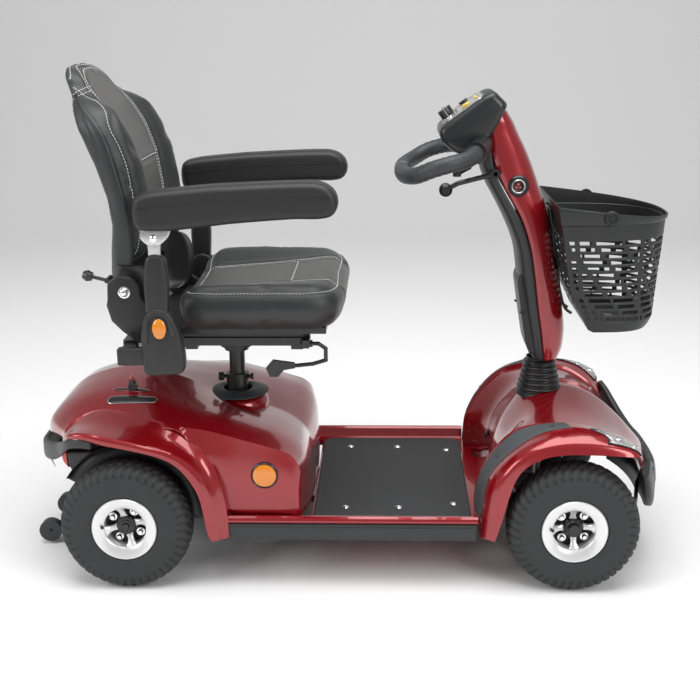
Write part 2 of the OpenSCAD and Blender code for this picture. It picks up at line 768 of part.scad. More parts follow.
module throttle_lever() color("black") placed() difference() {
    union() {
        bar_z(11, paddle_z - 8, paddle_z + 8, paddle_x, 0);
        both_sides() bent_rod([[paddle_x, 0, paddle_z], [paddle_x + 4, 70, paddle_z - 8],
                               [paddle_x - 22, 118, paddle_z - 14]], 5);
        both_sides() bar_z(8, paddle_z - 19, paddle_z - 9, paddle_x - 22, 118);
    }
    bar_z(5 + run_gap, paddle_z - 9, paddle_z + 9, paddle_x, 0);
}

tilt_lever_x = sx - 122;
tilt_lever_z = 792;

module tilt_lever() color("black") placed() difference() {
    union() {
        bar_y(9, -83, -tiller_half - 0.6, tilt_lever_x + 12, tilt_lever_z);
        bent_rod([[tilt_lever_x + 12, -76, tilt_lever_z], [tilt_lever_x - 60, -76, 774],
                  [tilt_lever_x - 78, -74, 764]], 5);
        translate([tilt_lever_x - 84, -62, 761]) rotate([90, 0, 0]) {
            cylinder(r1 = 8, r2 = 13, h = 6);
            translate([0, 0, 6]) cylinder(r = 13, h = 12);
            translate([0, 0, 18]) cylinder(r1 = 13, r2 = 8, h = 6);
        }
    }
    bar_y(4 + run_gap, -84, -50, tilt_lever_x + 12, tilt_lever_z);
}

// ---- basket --------------------------------------------------------------------------------

basket_side = [[sx + 30, 600], [sx + 12, 699], [sx + 5, 738], [sx + 205, 706], [sx + 232, 694],
               [sx + 238, 678], [sx + 224, 500], [sx + 215, 486], [sx + 108, 480], [sx + 78, 488],
               [sx + 36, 573]];
basket_half = basket_w / 2;
basket_plan = mirrored_plan([[sx - 20, basket_half - 8], [sx + 40, basket_half], [sx + 130, basket_half],
                             [sx + 178, basket_half - 14], [sx + 212, basket_half - 44],
                             [sx + 232, basket_half - 88], [sx + 238, 0]]);

module basket_form(g = 0) intersection() {
    side_slab(-400, 400) offset(delta = g) polygon(basket_side);
    linear_extrude(height = 900) offset(delta = g) polygon(basket_plan);
}

module basket() color("black") placed() difference() {
    basket_form();
    basket_form(-basket_wall);
    // open top
    side_slab(-basket_half + basket_wall + 6, basket_half - basket_wall - 6)
        polygon([[sx + 12, 690], [sx + 8, 760], [sx + 226, 760], [sx + 226, 690]]);
}

// The hanger follows the tiller's front face, and the basket's back hangs on it
module basket_bracket() color("gray") placed() difference() {
    side_slab(-34, 34) polygon([[sx + 18.6, 617], [sx + 5.8, 697], [sx - 1, 719], [sx + 3, 733],
                                [sx + 11, 699], [sx + 29, 600], [sx + 29, 590], [sx + 25, 586]]);
    basket_form(0.3);
    side_slab(-60, 60) offset(delta = 0.3) polygon(tiller_outline);
}

// ---- seat ----------------------------------------------------------------------------------

module seat_post_inner() color("black") placed() {
    bar_z(post_d / 2, 215, frame_z - 14, seat_x, 0);
    bar_z(post_d / 2 - 4, frame_z - 15, frame_z + 8, seat_x, 0);
    bar_z(post_d / 2 + 9, frame_z - 34, frame_z - 26, seat_x, 0);
}

rail_gap_y = 112;
rail_half = 14;

module swivel_frame() color("dimgray") placed() {
    difference() {
        union() {
            bar_z(34, frame_z - 25.5, frame_z + 4, seat_x, 0);
            block([seat_x - 86, -96, frame_z], [seat_x + 150, 96, frame_z + 7]);
            for (x = [seat_x - 86, seat_x + 126])
                block([x, -rail_gap_y - 12, frame_z], [x + 24, rail_gap_y + 12, frame_z + 9]);
            both_sides() end_slab(seat_x - 91, seat_x + 164)
                polygon([[rail_gap_y - rail_half, frame_z + 8], [rail_gap_y + rail_half, frame_z + 8],
                         [rail_gap_y + rail_half, 474], [rail_gap_y + rail_half - 3, 474],
                         [rail_gap_y + rail_half - 3, frame_z + 12],
                         [rail_gap_y - rail_half + 3, frame_z + 12],
                         [rail_gap_y - rail_half + 3, 474], [rail_gap_y - rail_half, 474]]);
            // lug for the seat lever
            block([seat_x + 150, -146, frame_z + 8], [seat_x + 164, -rail_gap_y - rail_half + 1, 474]);
            // ring for a tie-down strap
            bar_x(3, seat_x - 94, seat_x - 86, -rail_gap_y, frame_z + 4);
            translate([seat_x - 94, -rail_gap_y, frame_z - 8]) rotate([90, 0, 90])
                rotate_extrude() translate([12, 0]) circle(r = 3, $fn = 24);
        }
        bar_z(post_d / 2 - 4 + run_gap, frame_z - 14, frame_z + 8.4, seat_x, 0);
        bar_z(post_d / 2 + gap, frame_z - 40, frame_z - 13.5, seat_x, 0);
        bar_x(4 + run_gap, seat_x + 140, seat_x + 170, -138, frame_z + 16);
    }
}

module seat_lever() color("black") placed() {
    pivot = [seat_x + 146, -138, frame_z + 16];
    ball_rod([pivot, pivot + [36, 0, 0], pivot + [50, 0, -10], pivot + [50, 0, -34],
              pivot + [24, 0, -42], pivot + [-14, 0, -46]], 4);
    side_slab(-143, -133) polygon([[seat_x + 134, 426], [seat_x + 90, 432], [seat_x + 76, 416],
                                   [seat_x + 84, 398], [seat_x + 100, 398], [seat_x + 112, 412],
                                   [seat_x + 134, 416]]);
    bar_x(7, seat_x + 164.6, seat_x + 170, -138, frame_z + 16);
}

module seat_frame() color("dimgray") placed() difference() {
    union() {
        both_sides() {
            // upper rail, running inside the lower one
            block([seat_x - 91, rail_gap_y - 9, frame_z + 12.6], [seat_x + 164, rail_gap_y + 9, pan_z + 1]);
            // bracket of the backrest hinge
            side_slab(200, 206) polygon([[-24, 560], [-16, 530], [4, 509], [34, 486], [100, 486],
                                         [100, 514], [60, 540], [38, 575], [36, 600], [22, 611],
                                         [0, 611], [-16, 600]]);
            bar_y(7, 172, 207, hinge_x, hinge_z);
            bar_y(11, 205, 210, hinge_x, hinge_z);
        }
        block([30, -206, 486], [112, 206, 495]);
        block([66, -190, pan_z], [seat_x + 200, 190, pan_z + 12]);
        // receiver for the armrests
        both_sides() {
            block([2, 120, 462], [32, 200, 490]);
            block([2, 120, 480], [72, 132, 495]);
        }
    }
    both_sides() block([5 - gap / 4, 110, 465 - gap / 4], [29 + gap / 4, 201, 487 + gap / 4]);
}

cushion_outline = [[112, 540], [108, 574], [114, 587], [132, 593], [250, 596], [385, 598],
                   [410, 595], [428, 585], [438, 566], [424, 541], [384, 521], [350, 512.3], [130, 512.3], [118, 520]];
half_cushion = cushion_w / 2;

module seat_cushion() color("dimgray") placed() intersection() {
    side_slab(-half_cushion, half_cushion) polygon(cushion_outline);
    translate([0, 0, 512.3]) linear_extrude(height = 120)
        polygon(mirrored_plan([[100, half_cushion - 30], [120, half_cushion - 8], [170, half_cushion],
                               [370, half_cushion], [410, half_cushion - 22],
                               [430, half_cushion - 66], [440, half_cushion - 150]]));
    end_slab(0, 500) polygon(mirrored([[0, 512.3], [half_cushion - 22, 512.3], [half_cushion - 2, 540],
                                       [half_cushion, 560], [half_cushion - 6, 580],
                                       [half_cushion - 20, 593], [half_cushion - 34, 597],
                                       [0, 600]]));
}

half_back = back_w / 2;
btz = back_top_z;
// Front and rear lines of the padded back, and the line between pad and shell
pad_outline = [[44, 640], [44, 690], [38, 760], [20, 830], [-2, 890], [-30, 946], [-52, btz - 30],
               [-78, btz - 8], [-98, btz], [-112, btz - 4], [-104, 986], [-92, 955], [-70, 910],
               [-46, 855], [-26, 800], [-12, 750], [-8, 690], [-12, 640]];
shell_outline = [[-12.4, 640], [-8.4, 690], [-12.4, 750], [-26.4, 800], [-46.4, 855], [-70.4, 910],
                 [-92.4, 955], [-100, 974], [-106, 970], [-96, 945], [-78, 900], [-56, 850],
                 [-38, 800], [-26, 750], [-24, 690], [-32, 640], [-34, 580], [-26, 545], [-12, 522],
                 [26, 508], [60, 512], [76, 540], [80, 590], [66, 624], [44, 634], [0, 639]];
back_front = mirrored([[0, 500], [184, 500], [188, 600], [half_back - 12, 650], [half_back, 700],
                       [half_back, 850], [half_back - 10, 910], [half_back - 35, 950],
                       [half_back - 85, btz - 18], [half_back - 145, btz - 2], [0, btz + 1]]);

module backrest_pad() color("dimgray") placed() intersection() {
    side_slab(-half_back, half_back) polygon(pad_outline);
    end_slab(-300, 300) polygon(back_front);
}

module backrest_shell() color("black") placed() difference() {
    intersection() {
        side_slab(-half_back, half_back) polygon(shell_outline);
        end_slab(-300, 300) polygon(back_front);
    }
    both_sides() bar_y(7 + run_gap, 170, 260, hinge_x, hinge_z);
    both_sides() bar_y(5 + run_gap, 175, 260, -20, 609);
}

module recline_lever() color("black") placed() {
    bar_y(5, -208, -176, -20, 609);
    translate([-23, -204, 610]) rotate([0, -76, 0]) {
        cylinder(r = 3.5, h = 30);
        translate([0, 0, 26]) cylinder(r1 = 8, r2 = 11, h = 10);
        translate([0, 0, 36]) cylinder(r1 = 11, r2 = 7, h = 8);
    }
}

upright_y = arms_w / 2 - 27;          // middle of the steel upright

module arm_upright(side) on_side(side) difference() {
    union() {
        // cross bar into the receiver
        block([5, 134, 465], [29, upright_y + 3, 487]);
        // plastic cover with its reflector's boss
        side_slab(upright_y - 12, upright_y + 14)
            polygon([[58, 440], [132, 448], [134, 480], [126, 520], [114, 570], [110, 650],
                     [104, 678], [72, 678], [66, 640], [60, 566], [54, 520], [54, 452]]);
        block([5, upright_y - 12, 458], [60, upright_y + 3, 494]);
        bar_y(14, upright_y + 13, upright_y + 17, 90, 537);
        // steel tongue up to the pivot
        block([74, upright_y - 4, 670], [98, upright_y + 4, arm_z]);
        bar_y(12, upright_y - 4, upright_y + 4, arm_x, arm_z);
    }
    bar_y(5 + run_gap, upright_y - 30, upright_y + 30, arm_x, arm_z);
}

arm_outline = [[62, 716], [110, 716], [163, 722], [230, 730], [300, 735], [347, 738], [400, 737],
               [416, 742], [425, 762], [419, 784], [404, 798], [386, 805], [200, 800], [90, 789],
               [58, 780], [52, 760], [54, 728]];

module arm_pad(side) on_side(side) {
    side_slab(arm_y - arm_pad_w / 2, arm_y + arm_pad_w / 2) polygon(arm_outline);
    // steel cheeks and pin of the flip hinge
    for (y = [upright_y - 8, upright_y + 4.5])
        side_slab(y, y + 3.5) polygon([[72, 690], [100, 690], [112, 702], [116, 717], [66, 717], [66, 700]]);
    bar_y(5, upright_y - 8, upright_y + 8, arm_x, arm_z);
}

module left_arm_upright() color("dimgray") placed() arm_upright(1);
module right_arm_upright() color("dimgray") placed() arm_upright(-1);
module left_arm_pad() color("black") placed() arm_pad(1);
module right_arm_pad() color("black") placed() arm_pad(-1);

chassis_frame();
rear_cowl();
front_cowl();
floor_tray();
floor_mat();
floor_screws();
side_skirts();
front_bumper();
rear_bumper();
headlamps();
tail_lamps();
side_markers();
batteries();
transaxle();
drive_motor();
controller();
seat_post_tube();
post_dish();
grip_pads();
gaiter();
steering_shaft();
left_knuckle();
right_knuckle();
track_rod();
front_left_tyre();
front_left_rim();
front_right_tyre();
front_right_rim();
rear_left_tyre();
rear_left_rim();
rear_right_tyre();
rear_right_rim();
anti_tip_rollers();
tiller_mast();
tiller_front_cover();
tiller_rear_cover();
console_housing();
console_panel();
handlebar();
basket_bracket();
basket();
tilt_lever();
throttle_lever();
speed_knob();
ignition_key();
horn_button();
lamp_button();
freewheel_lever();
seat_post_inner();
swivel_frame();
seat_frame();
seat_cushion();
backrest_pad();
backrest_shell();
recline_lever();
seat_lever();
left_arm_upright();
right_arm_upright();
left_arm_pad();
right_arm_pad();
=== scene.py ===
"""Looks of a four-wheel mobility scooter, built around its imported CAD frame.

Lengths in the classes are millimetres, with X counted forward from the rear axle, Y to the
rider's left and Z up from the ground. metres() turns them into the frame's own metres.
"""

import json
import logging
from dataclasses import dataclass, field
from enum import Enum
from math import atan2, cos, pi, radians, sin

import bmesh
import bpy
import numpy as np
from mathutils import Matrix, Vector
from mathutils.bvhtree import BVHTree

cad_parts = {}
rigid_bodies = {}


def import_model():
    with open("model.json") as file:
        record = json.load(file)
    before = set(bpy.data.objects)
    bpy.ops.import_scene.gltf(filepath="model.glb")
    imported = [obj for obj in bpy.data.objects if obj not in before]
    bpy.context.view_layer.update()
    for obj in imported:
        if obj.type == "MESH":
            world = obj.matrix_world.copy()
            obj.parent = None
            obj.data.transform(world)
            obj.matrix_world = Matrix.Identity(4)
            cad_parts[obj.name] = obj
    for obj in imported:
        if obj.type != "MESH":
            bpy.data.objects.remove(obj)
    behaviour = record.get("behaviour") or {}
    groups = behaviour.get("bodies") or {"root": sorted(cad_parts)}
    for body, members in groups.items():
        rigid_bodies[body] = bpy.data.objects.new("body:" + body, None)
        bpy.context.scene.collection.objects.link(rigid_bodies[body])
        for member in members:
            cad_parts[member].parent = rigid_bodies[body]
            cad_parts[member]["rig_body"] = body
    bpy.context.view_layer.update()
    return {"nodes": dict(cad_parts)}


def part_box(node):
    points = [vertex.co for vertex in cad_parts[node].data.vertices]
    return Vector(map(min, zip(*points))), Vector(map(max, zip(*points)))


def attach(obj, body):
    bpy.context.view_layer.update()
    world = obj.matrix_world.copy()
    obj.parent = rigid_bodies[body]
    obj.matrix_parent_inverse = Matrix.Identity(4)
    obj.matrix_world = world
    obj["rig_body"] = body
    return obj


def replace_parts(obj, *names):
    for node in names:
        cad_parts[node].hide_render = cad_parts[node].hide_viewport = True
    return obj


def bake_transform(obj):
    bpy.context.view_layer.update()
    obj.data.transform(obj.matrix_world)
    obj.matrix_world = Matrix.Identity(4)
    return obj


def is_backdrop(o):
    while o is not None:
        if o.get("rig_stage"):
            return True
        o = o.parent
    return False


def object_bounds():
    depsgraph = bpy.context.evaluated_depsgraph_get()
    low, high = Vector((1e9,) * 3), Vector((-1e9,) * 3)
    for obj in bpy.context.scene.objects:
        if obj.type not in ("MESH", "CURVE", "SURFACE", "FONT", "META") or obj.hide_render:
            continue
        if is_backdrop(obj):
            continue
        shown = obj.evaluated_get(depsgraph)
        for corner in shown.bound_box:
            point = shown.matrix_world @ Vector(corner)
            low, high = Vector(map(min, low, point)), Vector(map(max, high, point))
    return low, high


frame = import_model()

LOG = logging.getLogger("scooter")
logging.basicConfig(level=logging.INFO, format="%(name)s: %(message)s")

SIDES = (-1.0, 1.0)                     # rider's right, rider's left


def _axle_x() -> float:
    """X of the rear axle in the frame's metres."""
    low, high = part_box("rear_left_tyre")
    return (low.x + high.x) / 2


AXLE_X = _axle_x()


def metres(points: np.ndarray) -> np.ndarray:
    """Points in the scooter's millimetres as points in the frame's metres."""
    return np.asarray(points, float) / 1000 + np.array([AXLE_X, 0, 0])


# ---- curves and surfaces --------------------------------------------------------------------

def flow(knots: np.ndarray, count: int, closed: bool = False) -> np.ndarray:
    """Carries a smooth curve through knots.

    Each span is a cubic whose end slopes are the chord-weighted mean of the slopes on both sides
    of the knot, and the places are evenly spaced along the mean chord length.

    Args:
        knots: array (k, ..., c) of control rows.
        count: number of rows returned.
        closed: joins the last row to the first one.

    Returns:
        Array (count, ..., c).
    """
    k = np.asarray(knots, float)
    if closed:
        k = np.concatenate([k[-2:], k, k[:3]])
    step = np.linalg.norm(np.diff(k, axis=0), axis=-1)
    step = step.reshape(len(k) - 1, -1).mean(1) + 1e-9
    t = np.concatenate([[0], np.cumsum(step)])
    h = step.reshape((-1,) + (1,) * (k.ndim - 1))
    slope = np.diff(k, axis=0) / h
    m = np.empty_like(k)
    m[1:-1] = (slope[:-1] * h[1:] + slope[1:] * h[:-1]) / (h[1:] + h[:-1])
    m[0], m[-1] = slope[0], slope[-1]
    if closed:
        s = np.linspace(t[2], t[-3], count, endpoint=False)
    else:
        s = np.linspace(t[0], t[-1], count)
    i = np.clip(np.searchsorted(t, s, side="right") - 1, 0, len(step) - 1)
    u = ((s - t[i]) / step[i]).reshape((-1,) + (1,) * (k.ndim - 1))
    hi = h[i]
    return ((2 * u**3 - 3 * u**2 + 1) * k[i] + (u**3 - 2 * u**2 + u) * hi * m[i]
            + (3 * u**2 - 2 * u**3) * k[i + 1] + (u**3 - u**2) * hi * m[i + 1])


def creased(knots: np.ndarray, breaks: list[int], counts: list[int]) -> np.ndarray:
    """A run of smooth curves that meet at sharp knots.

    Args:
        knots: array (k, ..., c).
        breaks: indices of the knots that stay sharp.
        counts: rows for each stretch between the breaks.

    Returns:
        The stretches one after another, each shared row once.
    """
    ends = [0, *breaks, len(knots) - 1]
    runs = [flow(knots[a:b + 1], n) for a, b, n in zip(ends[:-1], ends[1:], counts)]
    return np.concatenate([runs[0]] + [r[1:] for r in runs[1:]])


def swept(path: np.ndarray, radius: np.ndarray | float, sides: int = 20, flat: float = 1.0,
          closed: bool = False) -> np.ndarray:
    """A tube along a path.

    The cross-section's frame is carried along the path by removing, at each step, the part of the
    sideways axis that points along the new tangent.

    Args:
        path: points (n, 3).
        radius: one radius, or one for each point.
        sides: points round the section.
        flat: the section's height as a share of its width.
        closed: whether the path is a loop.

    Returns:
        Grid (n, sides, 3).
    """
    p = np.asarray(path, float)
    tangent = (np.roll(p, -1, 0) - np.roll(p, 1, 0)) if closed else np.gradient(p, axis=0)
    tangent /= np.linalg.norm(tangent, axis=1, keepdims=True) + 1e-12
    side = np.cross(tangent[0], [0, 0, 1.0])
    if np.linalg.norm(side) < 0.2:
        side = np.cross(tangent[0], [0, 1.0, 0])
    frames = []
    for t in tangent:
        side = side - t * (side @ t)
        side = side / np.linalg.norm(side)
        frames.append(side)
    n = np.array(frames)
    b = np.cross(tangent, n)
    a = np.linspace(0, 2 * pi, sides, endpoint=False)
    r = np.broadcast_to(np.asarray(radius, float), (len(p),))[:, None, None]
    ring = np.cos(a)[None, :, None] * n[:, None] + flat * np.sin(a)[None, :, None] * b[:, None]
    return p[:, None] + r * ring


def turned(profile: np.ndarray, centre: tuple, axis: str = "y", sides: int = 64) -> np.ndarray:
    """A profile of (radius, place along the axis) turned about an axis.

    Args:
        profile: points (n, 2).
        centre: the axis' origin.
        axis: "x", "y" or "z".
        sides: points round.

    Returns:
        Grid (n, sides, 3).
    """
    a = np.linspace(0, 2 * pi, sides, endpoint=False)
    r, h = np.asarray(profile, float)[:, 0:1], np.asarray(profile, float)[:, 1:2]
    c, s, h = r * np.cos(a), r * np.sin(a), h + 0 * a
    order = {"x": (h, c, s), "y": (s, h, c), "z": (c, s, h)}[axis]
    return np.stack(order, -1) + np.asarray(centre, float)


def side_points(outline: np.ndarray, y: float) -> np.ndarray:
    """An outline in X and Z as points in the plane at y."""
    o = np.asarray(outline, float)
    return np.column_stack([o[:, 0], np.full(len(o), y), o[:, 1]])


def rounded(outline: np.ndarray, radius: float, per: int = 6) -> np.ndarray:
    """A closed outline with each corner replaced by a quadratic arc.

    Args:
        outline: corners (n, 2).
        radius: distance from a corner to where its arc starts.
        per: points in each arc.

    Returns:
        Points (n * per, 2).
    """
    o = np.asarray(outline, float)
    before, after = np.roll(o, 1, 0) - o, np.roll(o, -1, 0) - o
    la, lb = np.linalg.norm(before, axis=1), np.linalg.norm(after, axis=1)
    ra, rb = np.minimum(radius, 0.45 * la), np.minimum(radius, 0.45 * lb)
    a = o + before / la[:, None] * ra[:, None]
    b = o + after / lb[:, None] * rb[:, None]
    u = np.linspace(0, 1, per)[None, :, None]
    arcs = (1 - u)**2 * a[:, None] + 2 * u * (1 - u) * o[:, None] + u**2 * b[:, None]
    return arcs.reshape(-1, 2)


class Shape:
    """Gathers grids and prisms into one mesh object."""

    def __init__(self, name: str) -> None:
        """Starts an empty shape of that name."""
        self.name = name
        self.verts: list[np.ndarray] = []
        self.faces: list[tuple] = []
        self.finish: list[int] = []
        self.count = 0

    def _add(self, verts: np.ndarray, faces: list, finish: int) -> "Shape":
        self.verts.append(verts)
        self.faces += [tuple(int(i) + self.count for i in f) for f in faces]
        self.finish += [finish] * len(faces)
        self.count += len(verts)
        return self

    def grid(self, g: np.ndarray, close_u: bool = False, close_v: bool = False,
             caps: bool = False, finish: int = 0) -> "Shape":
        """Adds a grid (nu, nv, 3) as quads.

        Args:
            g: the points in millimetres.
            close_u: joins the last row to the first one.
            close_v: joins the last column to the first one.
            caps: closes the first and the last row with one face each.
            finish: index of the finish of these faces.

        Returns:
            The shape itself.
        """
        nu, nv = g.shape[:2]
        i = np.arange(nu * nv).reshape(nu, nv)
        if close_u:
            i = np.vstack([i, i[:1]])
        if close_v:
            i = np.hstack([i, i[:, :1]])
        quads = np.stack([i[:-1, :-1], i[:-1, 1:], i[1:, 1:], i[1:, :-1]], -1).reshape(-1, 4)
        faces = quads.tolist()
        if caps:
            faces += [i[0, :nv][::-1].tolist(), i[-1, :nv].tolist()] if not close_u else []
        return self._add(g.reshape(-1, 3), faces, finish)

    def grid_where(self, g: np.ndarray, keep: np.ndarray, finish: int = 0) -> "Shape":
        """Adds a grid closed round its columns, with only the quads whose first corner is kept.

        Args:
            g: the points (nu, nv, 3).
            keep: booleans (nu, nv).
            finish: index of the finish.

        Returns:
            The shape itself.
        """
        nu, nv = g.shape[:2]
        i = np.arange(nu * nv).reshape(nu, nv)
        j = np.roll(i, -1, 1)
        quads = np.stack([i[:-1], j[:-1], j[1:], i[1:]], -1)[keep[:-1]]
        return self._add(g.reshape(-1, 3), quads.tolist(), finish)

    def prism(self, a: np.ndarray, b: np.ndarray, finish: int = 0) -> "Shape":
        """Adds the solid between two outlines (n, 3) of the same count."""
        return self.grid(np.stack([a, b]), close_v=True, caps=True, finish=finish)

    def slab(self, outline: np.ndarray, y0: float, y1: float, edge: float = 2.0,
             finish: int = 0) -> "Shape":
        """Adds an outline in X and Z between y0 and y1, its rims rounded by a three-step edge.

        Each rim row is the outline drawn in along its own corner normals by edge times the cosine
        of a quarter turn, so the edge follows a quarter circle.
        """
        o = np.asarray(outline, float)
        step = np.roll(o, -1, 0) - np.roll(o, 1, 0)
        n = np.column_stack([step[:, 1], -step[:, 0]])
        n /= np.linalg.norm(n, axis=1, keepdims=True) + 1e-9
        area = np.sum(o[:, 0] * np.roll(o[:, 1], -1) - np.roll(o[:, 0], -1) * o[:, 1])
        n *= np.sign(area)
        turn = np.linspace(0, pi / 2, 4)
        draw = edge * (1 - np.sin(turn))
        up = edge * (1 - np.cos(turn))
        rows = [side_points(o - n * d, y0 + u) for d, u in zip(draw, up)]
        rows += [side_points(o - n * d, y1 - u) for d, u in zip(draw[::-1], up[::-1])]
        return self.grid(np.array(rows), close_v=True, caps=True, finish=finish)

    def ball(self, centre: tuple, size: tuple, finish: int = 0, sides: int = 20) -> "Shape":
        """Adds an ellipsoid with those half sizes."""
        a = np.linspace(0.001, pi - 0.001, sides // 2 + 1)
        b = np.linspace(0, 2 * pi, sides, endpoint=False)
        g = np.stack([np.sin(a)[:, None] * np.cos(b), np.sin(a)[:, None] * np.sin(b),
                      np.cos(a)[:, None] + 0 * b], -1)
        return self.grid(g * np.array(size) + np.array(centre), close_v=True, caps=True,
                         finish=finish)

    def build(self, body: str, *finishes: "Finish", wall: float = 0.0, bevel: float = 0.0,
              smooth: int = 0, sharp: float = 38.0, outward: bool = True,
              offset: float = -1.0, warp: object = None) -> bpy.types.Object:
        """Makes the mesh object.

        Args:
            body: the CAD body that it rides on.
            finishes: one or more finishes, in the order of the face indices.
            wall: thickness added by Solidify, in millimetres.
            bevel: width of a bevel on sharp edges, in millimetres.
            smooth: levels of subdivision.
            sharp: edges over this angle stay sharp, in degrees.
            outward: whether the normals are worked out again.
            offset: Solidify's side, -1 for inwards.
            warp: function of the points (n, 3) that bends the shape, or None.

        Returns:
            The object, at the origin.
        """
        mesh = bpy.data.meshes.new(self.name)
        points = np.vstack(self.verts)
        points = warp(points) if warp else points
        mesh.from_pydata(metres(points).tolist(), [], self.faces)
        mesh.polygons.foreach_set("material_index", np.array(self.finish, np.int32))
        work = bmesh.new()
        work.from_mesh(mesh)
        bmesh.ops.remove_doubles(work, verts=work.verts, dist=2e-5)
        bmesh.ops.dissolve_degenerate(work, edges=work.edges, dist=1e-6)
        if outward:
            bmesh.ops.recalc_face_normals(work, faces=work.faces)
        work.to_mesh(mesh)
        work.free()
        mesh.shade_smooth()
        mesh.set_sharp_from_angle(angle=radians(sharp))
        obj = bpy.data.objects.new(self.name, mesh)
        bpy.context.scene.collection.objects.link(obj)
        if wall:
            mod = obj.modifiers.new("wall", "SOLIDIFY")
            mod.thickness, mod.offset = wall / 1000, offset
            mod.use_even_offset = False
        if bevel:
            mod = obj.modifiers.new("edges", "BEVEL")
            mod.width, mod.segments, mod.limit_method = bevel / 1000, 3, "ANGLE"
            mod.angle_limit, mod.harden_normals = radians(40), True
        if smooth:
            mod = obj.modifiers.new("smooth", "SUBSURF")
            mod.levels = mod.render_levels = smooth
        for f in finishes:
            mesh.materials.append(f.material())
        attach(obj, body)
        LOG.info("%s rides on %s", self.name, body)
        return obj


# ---- finishes -------------------------------------------------------------------------------

class Texture(Enum):
    """Kinds of surface detail."""

    PLAIN = "plain"
    FLAKE = "flake"
    GRAIN = "grain"
    LEATHER = "leather"
    CAST = "cast"
    BRUSHED = "brushed"
    PIMPLE = "pimple"
    PRISM = "prism"
    FOAM = "foam"
    SMUDGE = "smudge"


